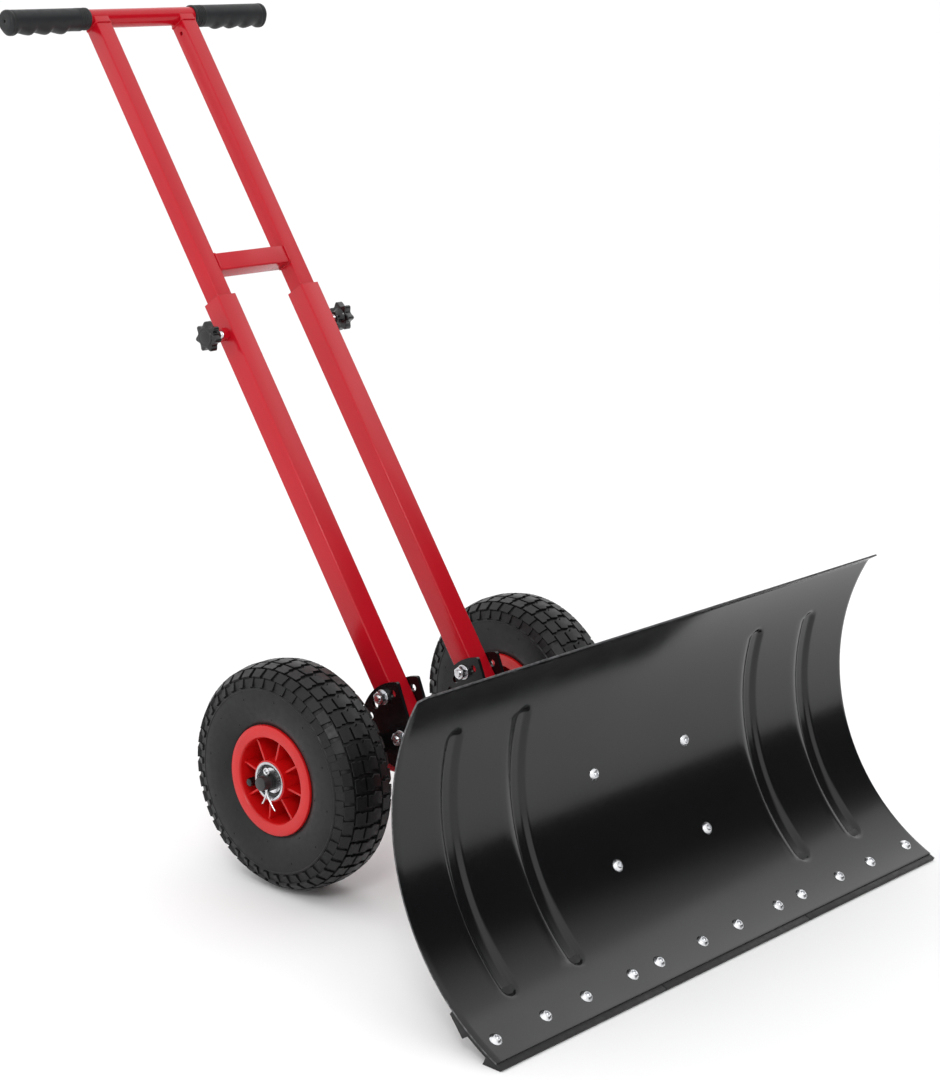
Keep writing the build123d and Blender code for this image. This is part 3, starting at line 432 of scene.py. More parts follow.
def zinc_plate(name, tint=(0.78, 0.79, 0.81), roughness=0.24):
    """Bright zinc: fine turned lines, small stains, metal throughout."""
    n = Nodes(name)
    stain = n.noise(90.0, 5.0)
    tone = n.colours(n.spread(stain, 0.4, 0.7, 0.0, 1.0), tint,
                     tuple(0.78 * c for c in tint))
    gloss = n.spread(n.noise(400.0, 4.0), 0.3, 0.7, roughness - 0.06, roughness + 0.12)
    skin = n.bump(n.noise(900.0, 3.0), 0.12, 0.03 * MM)
    return n.set(Base_Color=tone, Roughness=gloss, Normal=skin, Metallic=1.0)


def rubber(name, colour, dusty, roughness, grain, strength):
    """Moulded rubber: dusty bloom, fine grain."""
    n = Nodes(name)
    bloom = n.noise(28.0, 6.0, 0.65)
    tone = n.colours(n.spread(bloom, 0.42, 0.72, 0.0, 1.0), colour, dusty)
    gloss = n.spread(n.noise(160.0, 4.0), 0.3, 0.7, roughness - 0.07, roughness + 0.07)
    skin = n.bump(n.noise(grain, 4.0, 0.6), strength, 0.12 * MM)
    return n.set(Base_Color=tone, Roughness=gloss, Normal=skin, Specular_IOR_Level=0.3)


def moulded(name, colour, deep, roughness, grain=700.0, strength=0.15):
    """Injection-moulded plastic: a little flow cloud and a fine satin grain."""
    n = Nodes(name)
    flow = n.noise(22.0, 3.0)
    tone = n.colours(n.spread(flow, 0.35, 0.65, 0.0, 1.0), colour, deep)
    gloss = n.spread(n.noise(130.0, 3.0), 0.3, 0.7, roughness - 0.05, roughness + 0.07)
    skin = n.bump(n.noise(grain, 3.0), strength, 0.06 * MM)
    return n.set(Base_Color=tone, Roughness=gloss, Normal=skin)


def cut_edge_painted_highlight(name):
    """The blade's cut edge, with patches of lighter grey and part metal painted on as the highlight along the
    edge.
    """
    n = Nodes(name)
    # painted highlight: a noise mask spreads lighter grey over the cut edge's faces
    edge_highlight_noise = n.noise(260.0, 5.0, 0.7)
    painted_highlight_share = n.spread(edge_highlight_noise, 0.42, 0.58, 0.0, 1.0)
    tone = n.colours(painted_highlight_share, (0.02, 0.02, 0.021), (0.12, 0.12, 0.125))
    return n.set(Base_Color=tone, Roughness=0.4, Metallic=n.spread(edge_highlight_noise, 0.42, 0.58, 0, 0.5))


BLACK_COAT = powder_coat("black_powder_coat", (0.0045, 0.0045, 0.005), (0.003, 0.003, 0.0035),
                         0.17, 0.05, 0.42)
BRACKET_COAT = powder_coat("bracket_powder_coat", (0.003, 0.003, 0.0035),
                           (0.002, 0.002, 0.0025), 0.25, 0.05, 0.3)
RED_COAT = powder_coat("red_powder_coat", (0.46, 0.004, 0.013), (0.435, 0.0035, 0.0115), 0.2,
                       0.1, 0.34)
ZINC = zinc_plate("zinc_plate")
BEARING = zinc_plate("bearing_cup_zinc", (0.62, 0.63, 0.65), 0.26)
STEEL = zinc_plate("plain_steel", (0.55, 0.55, 0.56), 0.32)
AXLE_STEEL = powder_coat("black_axle_steel", (0.014, 0.014, 0.015), (0.02, 0.02, 0.021), 0.3)
TYRE = rubber("tyre_rubber", (0.0045, 0.0045, 0.005), (0.009, 0.009, 0.0095), 0.45, 420.0, 0.3)
TUBE_RUBBER = rubber("tube_rubber", (0.02, 0.02, 0.02), (0.03, 0.03, 0.03), 0.6, 300.0, 0.2)
GRIP = rubber("grip_rubber", (0.012, 0.013, 0.014), (0.018, 0.019, 0.020), 0.48, 900.0, 0.3)
STRIP = rubber("wear_strip_rubber", (0.009, 0.009, 0.0095), (0.014, 0.014, 0.0145), 0.5, 600.0,
               0.3)
RIM_RED = moulded("rim_red_plastic", (0.54, 0.003, 0.004), (0.48, 0.002, 0.003), 0.36)
KNOB_BLACK = moulded("knob_black_plastic", (0.003, 0.003, 0.0033), (0.005, 0.005, 0.0055), 0.2)
# coat for the blade's cut edge; its lighter grey is a painted highlight
EDGE = cut_edge_painted_highlight("cut_edge_painted_highlight")


# ======== blade
def blade_point(x, angle, radius=BLADE_RADIUS):
    return Vector((x, BLADE_Y + radius * cos(angle), BLADE_Z + radius * sin(angle)))


def blade_columns():
    """Places along the blade for its mesh: close together over the beads."""
    places, x = [], -BLADE_HALF
    while x < BLADE_HALF - 0.5 * MM:
        places.append(x)
        near = min(abs(x - bead) for bead in BEADS)
        step = 1.6 * MM if near < 16 * MM else 8 * MM
        x = min(x + step, BLADE_HALF)
    return places + [BLADE_HALF]


def bead_weight(co):
    """How deep the press has pushed the sheet at a point: 1 on a bead's floor."""
    angle = atan2(co.z - BLADE_Z, co.y - BLADE_Y)
    radius = hypot(co.z - BLADE_Z, co.y - BLADE_Y)
    if abs(radius - BLADE_RADIUS) > MM:
        return 0.0
    half = BEAD_WIDTH / 2
    along = max(BEAD_LOW * BLADE_RADIUS + half - angle * BLADE_RADIUS, 0,
                angle * BLADE_RADIUS - BEAD_HIGH * BLADE_RADIUS + half)
    across = min(abs(co.x - bead) for bead in BEADS)
    return ease((half - hypot(across, along)) / (half * 0.62))


def blade_sheet():
    """The pressed sheet: an arc with a folded lip and four beads, then given its thickness."""
    columns = blade_columns()
    obj = trace("blade_sheet_pressed", [blade_point(x, BLADE_LOW) for x in columns])
    bpy.ops.mesh.select_all(action="SELECT")
    bpy.ops.mesh.spin(steps=BLADE_STEPS, angle=BLADE_TOP - BLADE_LOW,
                      center=(0, BLADE_Y, BLADE_Z), axis=(-1, 0, 0))
    pick(obj, "EDGE", lambda p, d: abs(d.x) > 0.9 and (p - blade_point(p.x, BLADE_TOP))
         .length < 0.05 * MM)
    turn = radians(90) + BLADE_TOP
    last = radians(180) - LIP_RISE
    for i in range(LIP_BENDS):
        heading = turn + (last - turn) * (i + 0.5) / LIP_BENDS
        step = Vector((0, cos(heading), sin(heading))) * LIP_STEP
        pull(step)
    for length in (0.4 * LIP_LENGTH, 0.6 * LIP_LENGTH - 1.6 * MM):
        step = Vector((0, cos(last), sin(last))) * length
        pull(step)
    settle(obj)
    edit(obj)
    bpy.ops.mesh.normals_make_consistent(inside=False)
    bpy.ops.object.mode_set(mode="OBJECT")
    middle = min(obj.data.polygons, key=lambda f: (f.center - blade_point(0, 0)).length)
    if middle.normal.y > 0:
        edit(obj)
        bpy.ops.mesh.flip_normals()
        clear()
    weighted_push(obj, bead_weight, -BEAD_DEPTH)
    obj.data.materials.append(BLACK_COAT)
    # the sheet's rim faces take the cut edge's painted highlight coat
    obj.data.materials.append(EDGE)
    apply(obj, "SOLIDIFY", thickness=BLADE_THICK, offset=-1.0, use_rim=True,
          material_offset_rim=1, use_even_offset=True)
    apply(obj, "BEVEL", width=0.3 * MM, segments=2, limit_method="ANGLE",
          angle_limit=radians(60), material=-1)
    smooth(obj, 30)
    return finish(obj, None, "blade", "black_paint", "blade_sheet")


def wear_strips():
    """Three strips of one section along the blade's lower edge, each a third of its width."""
    back = BLADE_RADIUS + BLADE_THICK

    def at(radius, angle_deg):
        return blade_point(0, radians(angle_deg), radius)
    down = Vector((0, sin(BLADE_LOW), -cos(BLADE_LOW)))
    step = at(BLADE_RADIUS + 0.9 * MM, degrees(BLADE_LOW))
    toe = step + down * 7.4 * MM
    heel_radius = BLADE_Z / sin(radians(62.7))
    points = [toe, step, at(back, -66)]
    points += [at(back, -66 + 16.6 * k / 8) for k in range(1, 9)]
    points += [at(back + 5 * MM, -49.4), at(back + 11 * MM, -55.5), at(back + 3.6 * MM, -56.1),
               at(back + 3.6 * MM, -58.5), at(back + 3.6 * MM, -62.1),
               at(back + 3.6 * MM, -62.7), at(heel_radius, -62.7),
               Vector((0, toe.y + 2.2 * MM, 0))]
    third = 2 * BLADE_HALF / 3
    strips = []
    first = slab("wear_strip", points, (third - STRIP_GAP, 0, 0))
    soften(first, 0.7 * MM, 2, 28)
    for i in range(3):
        start = -BLADE_HALF + third * i + STRIP_GAP / 2
        strips.append(copied(first, f"wear_strip_{i + 1}", moved((start, 0, 0))))
    drop(first)
    piece = joined(strips, "wear_strips_moulded")
    return finish(piece, STRIP, "blade", "wear_rubber", "wear_strips")


def dome_bolt():
    """Button head with a round socket, its seat on the YZ plane and its head towards +X."""
    ball = (HEAD_RADIUS ** 2 + HEAD_HEIGHT ** 2) / (2 * HEAD_HEIGHT)
    socket = 2.5 * MM
    flat_top = 3.4 * MM
    reach = asin(HEAD_RADIUS * 0.985 / ball)
    start = asin(flat_top / ball)
    dome = [(HEAD_HEIGHT - ball + ball * cos(start + (reach - start) * k / 7),
             ball * sin(start + (reach - start) * k / 7)) for k in range(8)]
    profile = [(HEAD_HEIGHT - 2.6 * MM, 0), (HEAD_HEIGHT - 2.3 * MM, socket * 0.92),
               (HEAD_HEIGHT - 0.25 * MM, socket), (dome[0][0] - 0.02 * MM, socket + 0.35 * MM)]
    profile += dome + [(-0.1 * MM, HEAD_RADIUS), (-0.1 * MM, STUD_RADIUS),
                       (-5 * MM, STUD_RADIUS), (-5 * MM, 0)]
    return smooth(turned("dome_bolt", profile, 30), 30)


def bolt_place(x, angle):
    """Seat of a bolt on the blade's front, its +X towards the middle of the arc."""
    inward = Vector((0, -cos(angle), -sin(angle)))
    side = Vector((1, 0, 0))
    turn = Matrix((inward, side, inward.cross(side))).transposed().to_4x4()
    return moved(blade_point(x, angle)) @ turn


def blade_fasteners():
    """Twelve bolts through the strips and four through the bracket's plate."""
    bolt = dome_bolt()
    third = 2 * BLADE_HALF / 3
    rows = {
        "strip_bolts": [(third * (i - 1) + p * MM, STRIP_NUTS) for i in range(3)
                        for p in STRIP_BOLT_PLACES],
        "blade_bolts": [(s * BLADE_BOLT_X, radians(a)) for a in BLADE_BOLT_ANGLES
                        for _, s in SIDES],
    }
    for node, places in rows.items():
        heads = [copied(bolt, f"{node}_{i}", bolt_place(x, a) @ rotated(
            0.7 * i, "X")) for i, (x, a) in enumerate(places)]
        piece = joined(heads, node + "_button")
        finish(piece, ZINC, "blade", "zinc_steel", node)
    drop(bolt)


# ======== square tubes
def open_tube(name, side, corner, wall, length):
    """Square tube along Z from 0, open at its far end, with round long corners only."""
    clear()
    bpy.ops.mesh.primitive_plane_add(size=side)
    obj = made(name)
    edit(obj)
    bpy.ops.mesh.bevel(offset=corner, segments=6, affect="VERTICES")
    bpy.ops.mesh.select_all(action="SELECT")
    pull((0, 0, length))
    pick(obj, "FACE", lambda p, n: abs(p.z - length) < 0.1 * MM and hypot(p.x, p.y) < MM)
    bpy.ops.mesh.inset(thickness=wall)
    pull((0, 0, -TUBE_MOUTH))
    face_out()
    return settle(obj)


def lower_tube():
    """The handle's lower tube: round foot about the pivot bolt, open top."""
    tube = open_tube("lower_tube", TUBE, TUBE_CORNER, TUBE_WALL, SLEEVE)
    foot = turned("tube_foot", [(-TUBE / 2, 0), (-TUBE / 2, TUBE / 2 - 1.6 * MM),
                                (-TUBE / 2 + 0.5 * MM, TUBE / 2 - 0.5 * MM),
                                (-TUBE / 2 + 1.6 * MM, TUBE / 2), (TUBE / 2 - 1.6 * MM, TUBE / 2),
                                (TUBE / 2 - 0.5 * MM, TUBE / 2 - 0.5 * MM),
                                (TUBE / 2, TUBE / 2 - 1.6 * MM), (TUBE / 2, 0)], 48)
    tube = joined([tube, foot], "lower_tube")
    return soften(tube, 0.35 * MM, 2, 50)


def handle_tubes():
    """Lower tubes, the legs that slide in them, the middle bar and the weld seams."""
    tube = lower_tube()
    for name, s in SIDES:
        twin = copied(tube, name + "_lower_tube_coated",
                      HANDLE @ moved((s * HALF_SPACING, 0, 0)))
        finish(twin, RED_COAT, "chassis", "red_paint", name + "_lower_tube")
    drop(tube)
    length = BAR_AXIS - LEG_SHORT - LEG_FOOT
    leg = open_tube("leg", LEG, LEG_CORNER, LEG_WALL, length)
    soften(leg, 0.3 * MM, 2, 50)
    hole = turned("vent_cutter", [
        (-VENT_HALF_DEPTH, 0), (-VENT_HALF_DEPTH, VENT_RADIUS), (VENT_HALF_DEPTH, VENT_RADIUS),
        (VENT_HALF_DEPTH, 0)], 24)
    weld = weld_ring(LEG)
    for name, s in SIDES:
        twin = copied(leg, name + "_leg_coated", HANDLE @ moved(
            (s * HALF_SPACING, 0, BAR_AXIS - LEG_SHORT)) @ rotated(pi, "X"))
        cutter = copied(hole, "cutter", HANDLE @ moved(
            (s * (HALF_SPACING - LEG / 2), 0, BAR_AXIS - VENT_BELOW_BAR)))
        cut(twin, cutter)
        smooth(twin)
        finish(twin, RED_COAT, "upper_handle", "red_paint", name + "_leg")
        seam = copied(weld, name + "_bar_weld", HANDLE @ moved(
            (s * HALF_SPACING, 0, BAR_AXIS - BAR_RADIUS + WELD_SINK)))
        finish(seam, RED_COAT, "upper_handle", "red_paint")
    drop(leg)
    drop(hole)
    half = HALF_SPACING - LEG / 2
    bar = open_tube("mid_bar_coated", LEG, LEG_CORNER, LEG_WALL, 2 * half)
    across = moved((-half, 0, MID_BAR)) @ rotated(radians(90), "Y")
    bar = settle(soften(bar, 0.3 * MM, 2, 50), HANDLE @ across)
    finish(bar, RED_COAT, "upper_handle", "red_paint", "mid_bar")
    for name, s in SIDES:
        seam = copied(weld, name + "_mid_weld", HANDLE @ moved(
            (s * (half - WELD_SINK), 0, MID_BAR)) @ rotated(radians(90), "Y"))
        finish(seam, RED_COAT, "upper_handle", "red_paint")
    drop(weld)


def weld_ring(side):
    """A weld seam around the end of a square tube: a rounded square band, flat in the XY plane."""
    reach = side / 2 + WELD_SPREAD
    outline = [(x * reach, y * reach, 0) for x, y in ((-1, -1), (1, -1), (1, 1), (-1, 1))]
    obj = slab("weld_ring", outline, (0, 0, WELD_HEIGHT))
    settle(obj, moved((0, 0, -WELD_HEIGHT / 2)))
    edit(obj)
    pick(obj, "EDGE", lambda middle, way: abs(way.z) > 0.9)
    bpy.ops.mesh.bevel(offset=WELD_CORNER, segments=5)
    bore = slab("weld_bore", [(x * WELD_BORE, y * WELD_BORE, 0) for x, y, _ in outline],
                (0, 0, 4 * WELD_HEIGHT))
    settle(bore, moved((0, 0, -2 * WELD_HEIGHT)))
    cut(obj, bore)
    soften(obj, 0.7 * MM, 3, 60)
    return smooth(obj, 60)


# ======== top bar and grips
def top_bar():
    """Round tube across the top, under the grips."""
    inner = BAR_RADIUS - BAR_WALL
    profile = [(-BAR_HALF, inner), (-BAR_HALF, BAR_RADIUS), (BAR_HALF, BAR_RADIUS),
               (BAR_HALF, inner)]
    bar = smooth(turned("top_bar_coated", profile, 48, loop=True))
    settle(bar, HANDLE @ moved((0, 0, BAR_AXIS)))
    finish(bar, RED_COAT, "upper_handle", "red_paint", "top_bar")


GRIP_LOBES = (117.5, 141.0, 164.5, 188.0)
GRIP_LOBE_DEPTH = 3.9 * MM
GRIP_RINGS = 5
GRIP_TURN = radians(16)


def grip_wave(x):
    """Drop of the finger side below the round body: a slow rise and a quick fall inwards."""
    drop_by = 0.0
    for lobe in GRIP_LOBES:
        offset = x / MM - lobe
        if -7.5 < offset <= 0:
            drop_by = max(drop_by, ease(1 + offset / 7.5))
        elif 0 < offset < 16:
            drop_by = max(drop_by, ease(1 - offset / 17.5))
    return drop_by


def grip():
    """Right-hand grip along +X about the bar's axis, its finger lobes towards -Z."""
    start, end = grip_low.x, grip_high.x
    body = 12.8 * MM
    profile = [(start, BAR_RADIUS - 0.2 * MM), (start, 12.6 * MM), (start + 0.5 * MM, 13.0 * MM),
               (start + 2.8 * MM, 13.1 * MM), (start + 3.4 * MM, 12.7 * MM)]
    x = start + 3.8 * MM
    for _ in range(GRIP_RINGS):
        for dx, r in ((0.0, 12.3), (0.9, 12.3), (1.3, 12.9), (2.1, 12.9)):
            profile.append((x + dx * MM, r * MM))
        x += 2.6 * MM
    steps = 58
    run = (end - 8.5 * MM) - x
    profile += [(x + run * k / steps, body) for k in range(steps + 1)]
    profile += [(end - 7.6 * MM, body - 0.5 * MM), (end - 6.8 * MM, body - 0.5 * MM),
                (end - 6.0 * MM, body + 0.2 * MM), (end - 3.6 * MM, body + 0.25 * MM)]
    radius = 3.4 * MM
    profile += [(end - radius + radius * sin(radians(t)),
                 body + 0.25 * MM - radius + radius * cos(radians(t))) for t in
                (18, 36, 54, 72, 90)]
    profile += [(end, 5 * MM), (end, 2.2 * MM), (end - 0.4 * MM, 1.7 * MM),
                (end - 3 * MM, 1.6 * MM), (end - 3 * MM, 0)]
    obj = turned("grip", profile, 64)

    def finger_side(co):
        if co.x < start + 10 * MM or co.x > end - 1.5 * MM:
            return 0.0
        under = max(0.0, -co.z / hypot(co.y, co.z, 1e-9))
        return (0.22 + 0.78 * grip_wave(co.x)) * ease(under ** 1.2) * ease(
            (end - co.x) / (4 * MM))
    weighted_push(obj, finger_side, -GRIP_LOBE_DEPTH, "Z")
    smooth(obj, 50)
    turn = rotated(GRIP_TURN, "X")
    return settle(obj, HANDLE @ moved((0, 0, BAR_AXIS)) @ turn)


def grips():
    """The right grip and its mirror image."""
    right = grip()
    left = mirrored(right, "left_grip_moulded")
    right.name = "right_grip_moulded"
    for name, obj in (("left", left), ("right", right)):
        finish(smooth(obj, 50), GRIP, "upper_handle", "grip_rubber", name + "_grip")


# ======== knobs
KNOB_RADIUS = 17.5 * MM
KNOB_LOBES = 7
KNOB_NECK = 9 * MM
KNOB_STAR = 11 * MM


def star_knob():
    """Seven-lobed knob along +X: neck from 0, star above it, hollow crown."""
    count = KNOB_LOBES * 14

    def radius(t):
        wave = (1 + cos(KNOB_LOBES * t)) / 2
        return KNOB_RADIUS * (0.755 + 0.245 * wave ** 1.25)
    turns = [2 * pi * i / count for i in range(count)]
    points = [(KNOB_NECK, radius(t) * cos(t), radius(t) * sin(t)) for t in turns]
    star = slab("star_knob", points, (KNOB_STAR - 3.2 * MM, 0, 0))
    edit(star)
    pick(star, "FACE", lambda p, n: n.x > 0.99)
    for inset, rise in ((0.35, 0.7), (0.6, 0.5), (0.9, 0.3)):
        bpy.ops.mesh.inset(thickness=inset * MM)
        bpy.ops.transform.translate(value=(rise * MM, 0, 0))
    pick(star, "FACE", lambda p, n: n.x < -0.99)
    bpy.ops.mesh.inset(thickness=0.8 * MM)
    bpy.ops.transform.translate(value=(-0.7 * MM, 0, 0))
    clear()
    smooth(star, 40)
    neck = turned("knob_neck", [(0, STUD_RADIUS), (0, 6.6 * MM), (0.5 * MM, 7.1 * MM),
                                (2 * MM, 7.2 * MM), (KNOB_NECK * 0.7, 8.4 * MM),
                                (KNOB_NECK, 11.5 * MM), (KNOB_NECK + MM, 11.5 * MM),
                                (KNOB_NECK + MM, STUD_RADIUS)], 40, loop=True)
    smooth(neck, 35)
    face = KNOB_NECK + KNOB_STAR
    crown = turned("knob_crown", [
        (face - 2.6 * MM, 0), (face - 2.6 * MM, 11.4 * MM), (face - 1.5 * MM, 11.3 * MM),
        (face - 0.9 * MM, 10.8 * MM), (face - 0.7 * MM, 9.8 * MM), (face - 0.9 * MM, 9.3 * MM),
        (face - 0.5 * MM, 7.5 * MM), (face - 0.15 * MM, 4.5 * MM), (face, 0)], 48)
    smooth(crown, 50)
    return joined([star, neck, crown], "star_knob")


def threaded_stud(start, end, pitch=1.25 * MM):
    """Stud along +X with its thread as close rings."""
    depth = 0.5 * MM
    profile = [(start, 0), (start, STUD_RADIUS - 0.9 * MM)]
    x = start + 0.8 * MM
    while x < end - pitch:
        profile += [(x, STUD_RADIUS - depth), (x + pitch * 0.35, STUD_RADIUS - 0.02 * MM),
                    (x + pitch * 0.55, STUD_RADIUS - 0.02 * MM)]
        x += pitch
    profile += [(end, STUD_RADIUS - depth), (end, 0)]
    return smooth(turned("stud", profile, 28), 25)


def hex_nut(flats=NUT_FLATS, height=NUT_HEIGHT, bore=STUD_RADIUS):
    """Nut along +X from 0 with chamfered corners and a countersunk bore."""
    clear()
    bpy.ops.mesh.primitive_cylinder_add(vertices=6, radius=flats / 2 / cos(pi / 6),
                                        depth=height, location=(height / 2, 0, 0),
                                        rotation=(0, radians(90), 0))
    nut = settle(made("nut"))
    edge = flats / 2 / cos(pi / 6)
    rise = (edge - flats / 2 + 0.25 * MM) * 0.55
    lens = turned("lens", [(0, 0), (0, flats / 2 - 0.25 * MM), (rise, edge + 0.1 * MM),
                           (height - rise, edge + 0.1 * MM), (height, flats / 2 - 0.25 * MM),
                           (height, 0)], 48)
    apply(nut, "BOOLEAN", object=lens, operation="INTERSECT", solver="EXACT")
    drop(lens)
    if bore:
        sink = 0.7 * MM
        tool = turned("bore", [(-MM, 0), (-MM, bore + sink + MM), (sink, bore),
                               (height - sink, bore), (height + MM, bore + sink + MM),
                               (height + MM, 0)], 32)
        cut(nut, tool)
    return smooth(nut, 22)


def washer_ring(radius=8.5 * MM, thick=WASHER_THICK, bore=STUD_RADIUS + 0.2 * MM):
    edge = 0.25 * MM
    return smooth(turned("washer", [
        (0, bore), (0, radius - edge), (edge, radius), (thick - edge, radius),
        (thick, radius - edge), (thick, bore)], 40, loop=True), 30)


def knobs():
    """Three star knobs, two studs and their weld nuts; gives back the plain nut."""
    knob = star_knob()
    nut = hex_nut()
    outer = HALF_SPACING + TUBE / 2
    neck_foot = outer + NUT_HEIGHT + 6 * MM
    stud = threaded_stud(-(neck_foot - outer + (TUBE - LEG) / 2 - 0.1 * MM), 6 * MM)
    for name, s in SIDES:
        out = faced(s, "Z")
        place = HANDLE @ moved((s * neck_foot, 0, KNOB_PLACE)) @ out
        twin = copied(knob, name + "_knob_moulded", place @ rotated(
            radians(8), "X"))
        finish(twin, KNOB_BLACK, name + "_knob_turn", "black_plastic", name + "_knob")
        rod = copied(stud, name + "_stud_threaded", place)
        finish(rod, ZINC, name + "_stud_slide", "zinc_steel", name + "_knob_stud")
        foot = HANDLE @ moved((s * outer, 0, KNOB_PLACE)) @ out
        weld_nut = copied(nut, name + "_weld_nut", foot)
        finish(weld_nut, RED_COAT, "chassis", "red_steel_nut", "weld_nuts")
    low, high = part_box("clamp_knob")
    up = moved(((low.x + high.x) / 2, joints["clamp_knob_spin"]["pos_m"][1],
                             low.z)) @ rotated(-radians(90), "Y")
    twin = copied(knob, "clamp_knob_moulded", up)
    finish(twin, KNOB_BLACK, "clamp_knob_turn", "black_plastic", "clamp_knob")
    drop(knob)
    drop(stud)
    return nut


# ======== bracket hardware
def bracket_hardware(nut):
    """Bolts, washers and nuts through the bracket plates, nuts to the left."""
    washer = washer_ring()
    head = hex_nut(NUT_FLATS, EAR_HEAD_HEIGHT, 0)
    tip = threaded_stud(0, NUT_HEIGHT + 2.5 * MM + WASHER_THICK)
    half = TUBE / 2 + EAR_PLATES
    groups = {"ear_nuts": [], "ear_washers": [], "ear_bolts": []}
    spots = [(s, along) for along in (0.0, EAR_BOLT_RISE) for _, s in SIDES]
    flip = rotated(pi, "Z")
    for i, (s, along) in enumerate(spots):
        low = s * HALF_SPACING - half
        high = s * HALF_SPACING + half
        turn = rotated(0.5 + 0.9 * i, "X")
        left = HANDLE @ moved((low, 0, along)) @ flip
        right = HANDLE @ moved((high, 0, along))
        past = moved((WASHER_THICK, 0, 0))
        groups["ear_washers"] += [copied(washer, f"w{i}", left), copied(washer, f"v{i}", right)]
        groups["ear_nuts"].append(copied(nut, f"n{i}", left @ past @ turn))
        groups["ear_bolts"] += [copied(tip, f"t{i}", left),
                                copied(head, f"h{i}", right @ past @ turn)]
    for node, parts in groups.items():
        finish(joined(parts, node + "_plated"), ZINC, "chassis", "zinc_steel", node)
    for obj in (washer, head, tip):
        drop(obj)


# ======== wheels
def on_wheel(s):
    """The middle of the wheel on this side."""
    return moved((s * WHEEL_X, AXLE.y, AXLE.z))


# sections as (across, radius) in mm
TYRE_SECTION = ((30.9, 51.0), (30.9, 62.6), (32.4, 64.6), (34.6, 68.5), (36.4, 75.0),
                (37.5, 83.0), (37.9, 91.0), (37.6, 97.0), (37.0, 101.0), (37.5, 101.8),
                (37.1, 103.2), (35.9, 104.2), (35.2, 108.0), (33.8, 112.6), (31.4, 116.4),
                (27.9, 119.3), (22.7, 121.6), (15.0, 123.3), (7.5, 124.1), (0.0, 124.4))


TYRE_INSIDE = ((26.0, 51.0), (28.0, 66.0), (32.0, 84.0), (28.0, 108.0), (14.0, 116.0))
TREAD_COUNT = 42
PIP_RINGS = ((70.5, 35.0, 8, 0.2), (92.0, 37.8, 12, 0.4))    # radius, across, count, turn


def tyre_carcass():
    """The rubber shell without its blocks, hollow for the inner tube."""
    inside = in_mm(TYRE_INSIDE)
    profile = both_sides(TYRE_SECTION)
    profile += [(-x, r) for x, r in inside] + [(x, r) for x, r in reversed(inside)]
    return smooth(turned("tyre_carcass", profile, 128, loop=True), 28)


def tread_block(name, outline, height, sink=1.6):
    """A tread block with sloping sides; outline is (across, around) in mm, pulled towards +Z."""
    obj = slab(name, [(x * MM, y * MM, -sink * MM) for x, y in outline],
               (0, 0, (height + sink - 0.35) * MM))
    edit(obj)
    pick(obj, "FACE", lambda p, n: n.z > 0.9)
    pull((0, 0, 0.35 * MM))
    bpy.ops.transform.resize(value=(0.93, 0.95, 1))
    clear()
    return obj


def tread():
    """Staggered blocks: a zigzag middle row, two flank rows, and shoulder lugs."""
    pitch = 2 * pi / TREAD_COUNT
    rows = []
    zigzag = [(-9.6, -6.6), (-1.0, -8.6), (1.5, -5.2), (9.6, -6.8), (9.6, 6.6), (1.0, 8.6),
              (-1.5, 5.2), (-9.6, 6.8)]
    flank = [(-6.6, -7.6), (-1.0, -6.2), (1.0, -8.2), (6.4, -7.6), (6.4, 7.2), (0.6, 8.0),
             (-1.4, 5.9), (-6.6, 7.2)]
    lug_long = [(-5.0, -7.4), (6.0, -6.2), (6.0, 5.8), (-5.0, 7.4)]
    lug_short = [(-4.6, -3.6), (4.8, -3.0), (4.8, 3.0), (-4.6, 3.6)]
    middle = tread_block("middle_block", zigzag, 2.4)
    side = tread_block("flank_block", flank, 2.3)
    long_lug = tread_block("shoulder_lug", lug_long, 2.1)
    short_lug = tread_block("shoulder_notch", lug_short, 1.4)
    plan = ((middle, 0.0, 124.3, 0.0, 0.0), (side, 18.0, 122.6, 12.0, 0.5),
            (long_lug, 29.4, 117.8, 38.0, 0.0), (short_lug, 34.9, 109.2, 66.0, 0.5))
    for shape, across, radius, tip, shift in plan:
        for mirror in ((1,) if across == 0 else (1, -1)):
            for i in range(TREAD_COUNT):
                turn = rotated(pitch * (i + shift + (0.5 if mirror < 0 else 0)), "X")
                slope = rotated(radians(tip) * mirror, "Y")
                face = faced(mirror, "Z")
                place = turn @ moved((mirror * across * MM, 0, radius * MM))
                rows.append((shape, place @ slope @ face))
    blocks = []
    for shape, place in rows:
        twin = shape.copy()
        twin.data = shape.data.copy()
        twin.matrix_world = place
        bpy.context.scene.collection.objects.link(twin)
        blocks.append(twin)
    piece = joined(blocks, "tread")
    settle(piece)
    for shape in (middle, side, long_lug, short_lug):
        drop(shape)
    return piece


def sidewall_marks():
    """Small vent pips left by the mould, at two radii on the sidewall."""
    pip = turned("pip", [(0, 1.0 * MM), (0.4 * MM, 0.9 * MM), (0.7 * MM, 0.5 * MM),
                         (0.75 * MM, 0)], 10)
    pips = []
    for radius, across, count, shift in PIP_RINGS:
        for i in range(count):
            for mirror in (1, -1):
                turn = rotated(2 * pi * (i + shift) / count, "X")
                face = faced(mirror, "Z")
                place = turn @ moved((mirror * across * MM, 0, radius * MM))
                pips.append(copied(pip, "pip", place @ face))
    drop(pip)
    return joined(pips, "sidewall_marks")


def tyres():
    """Carcass, tread and pips as one mould, then one tyre a side."""
    carcass = tyre_carcass()
    blocks = tread()
    marks = sidewall_marks()
    whole = joined([carcass, blocks, marks], "tyre")
    smooth(whole, 28)
    for name, s in SIDES:
        twin = copied(whole, name + "_tyre_moulded", on_wheel(s) @ rotated(
            0.1 * s, "X"))
        finish(twin, TYRE, name + "_wheel", "tyre_rubber", name + "_tyre")
    drop(whole)


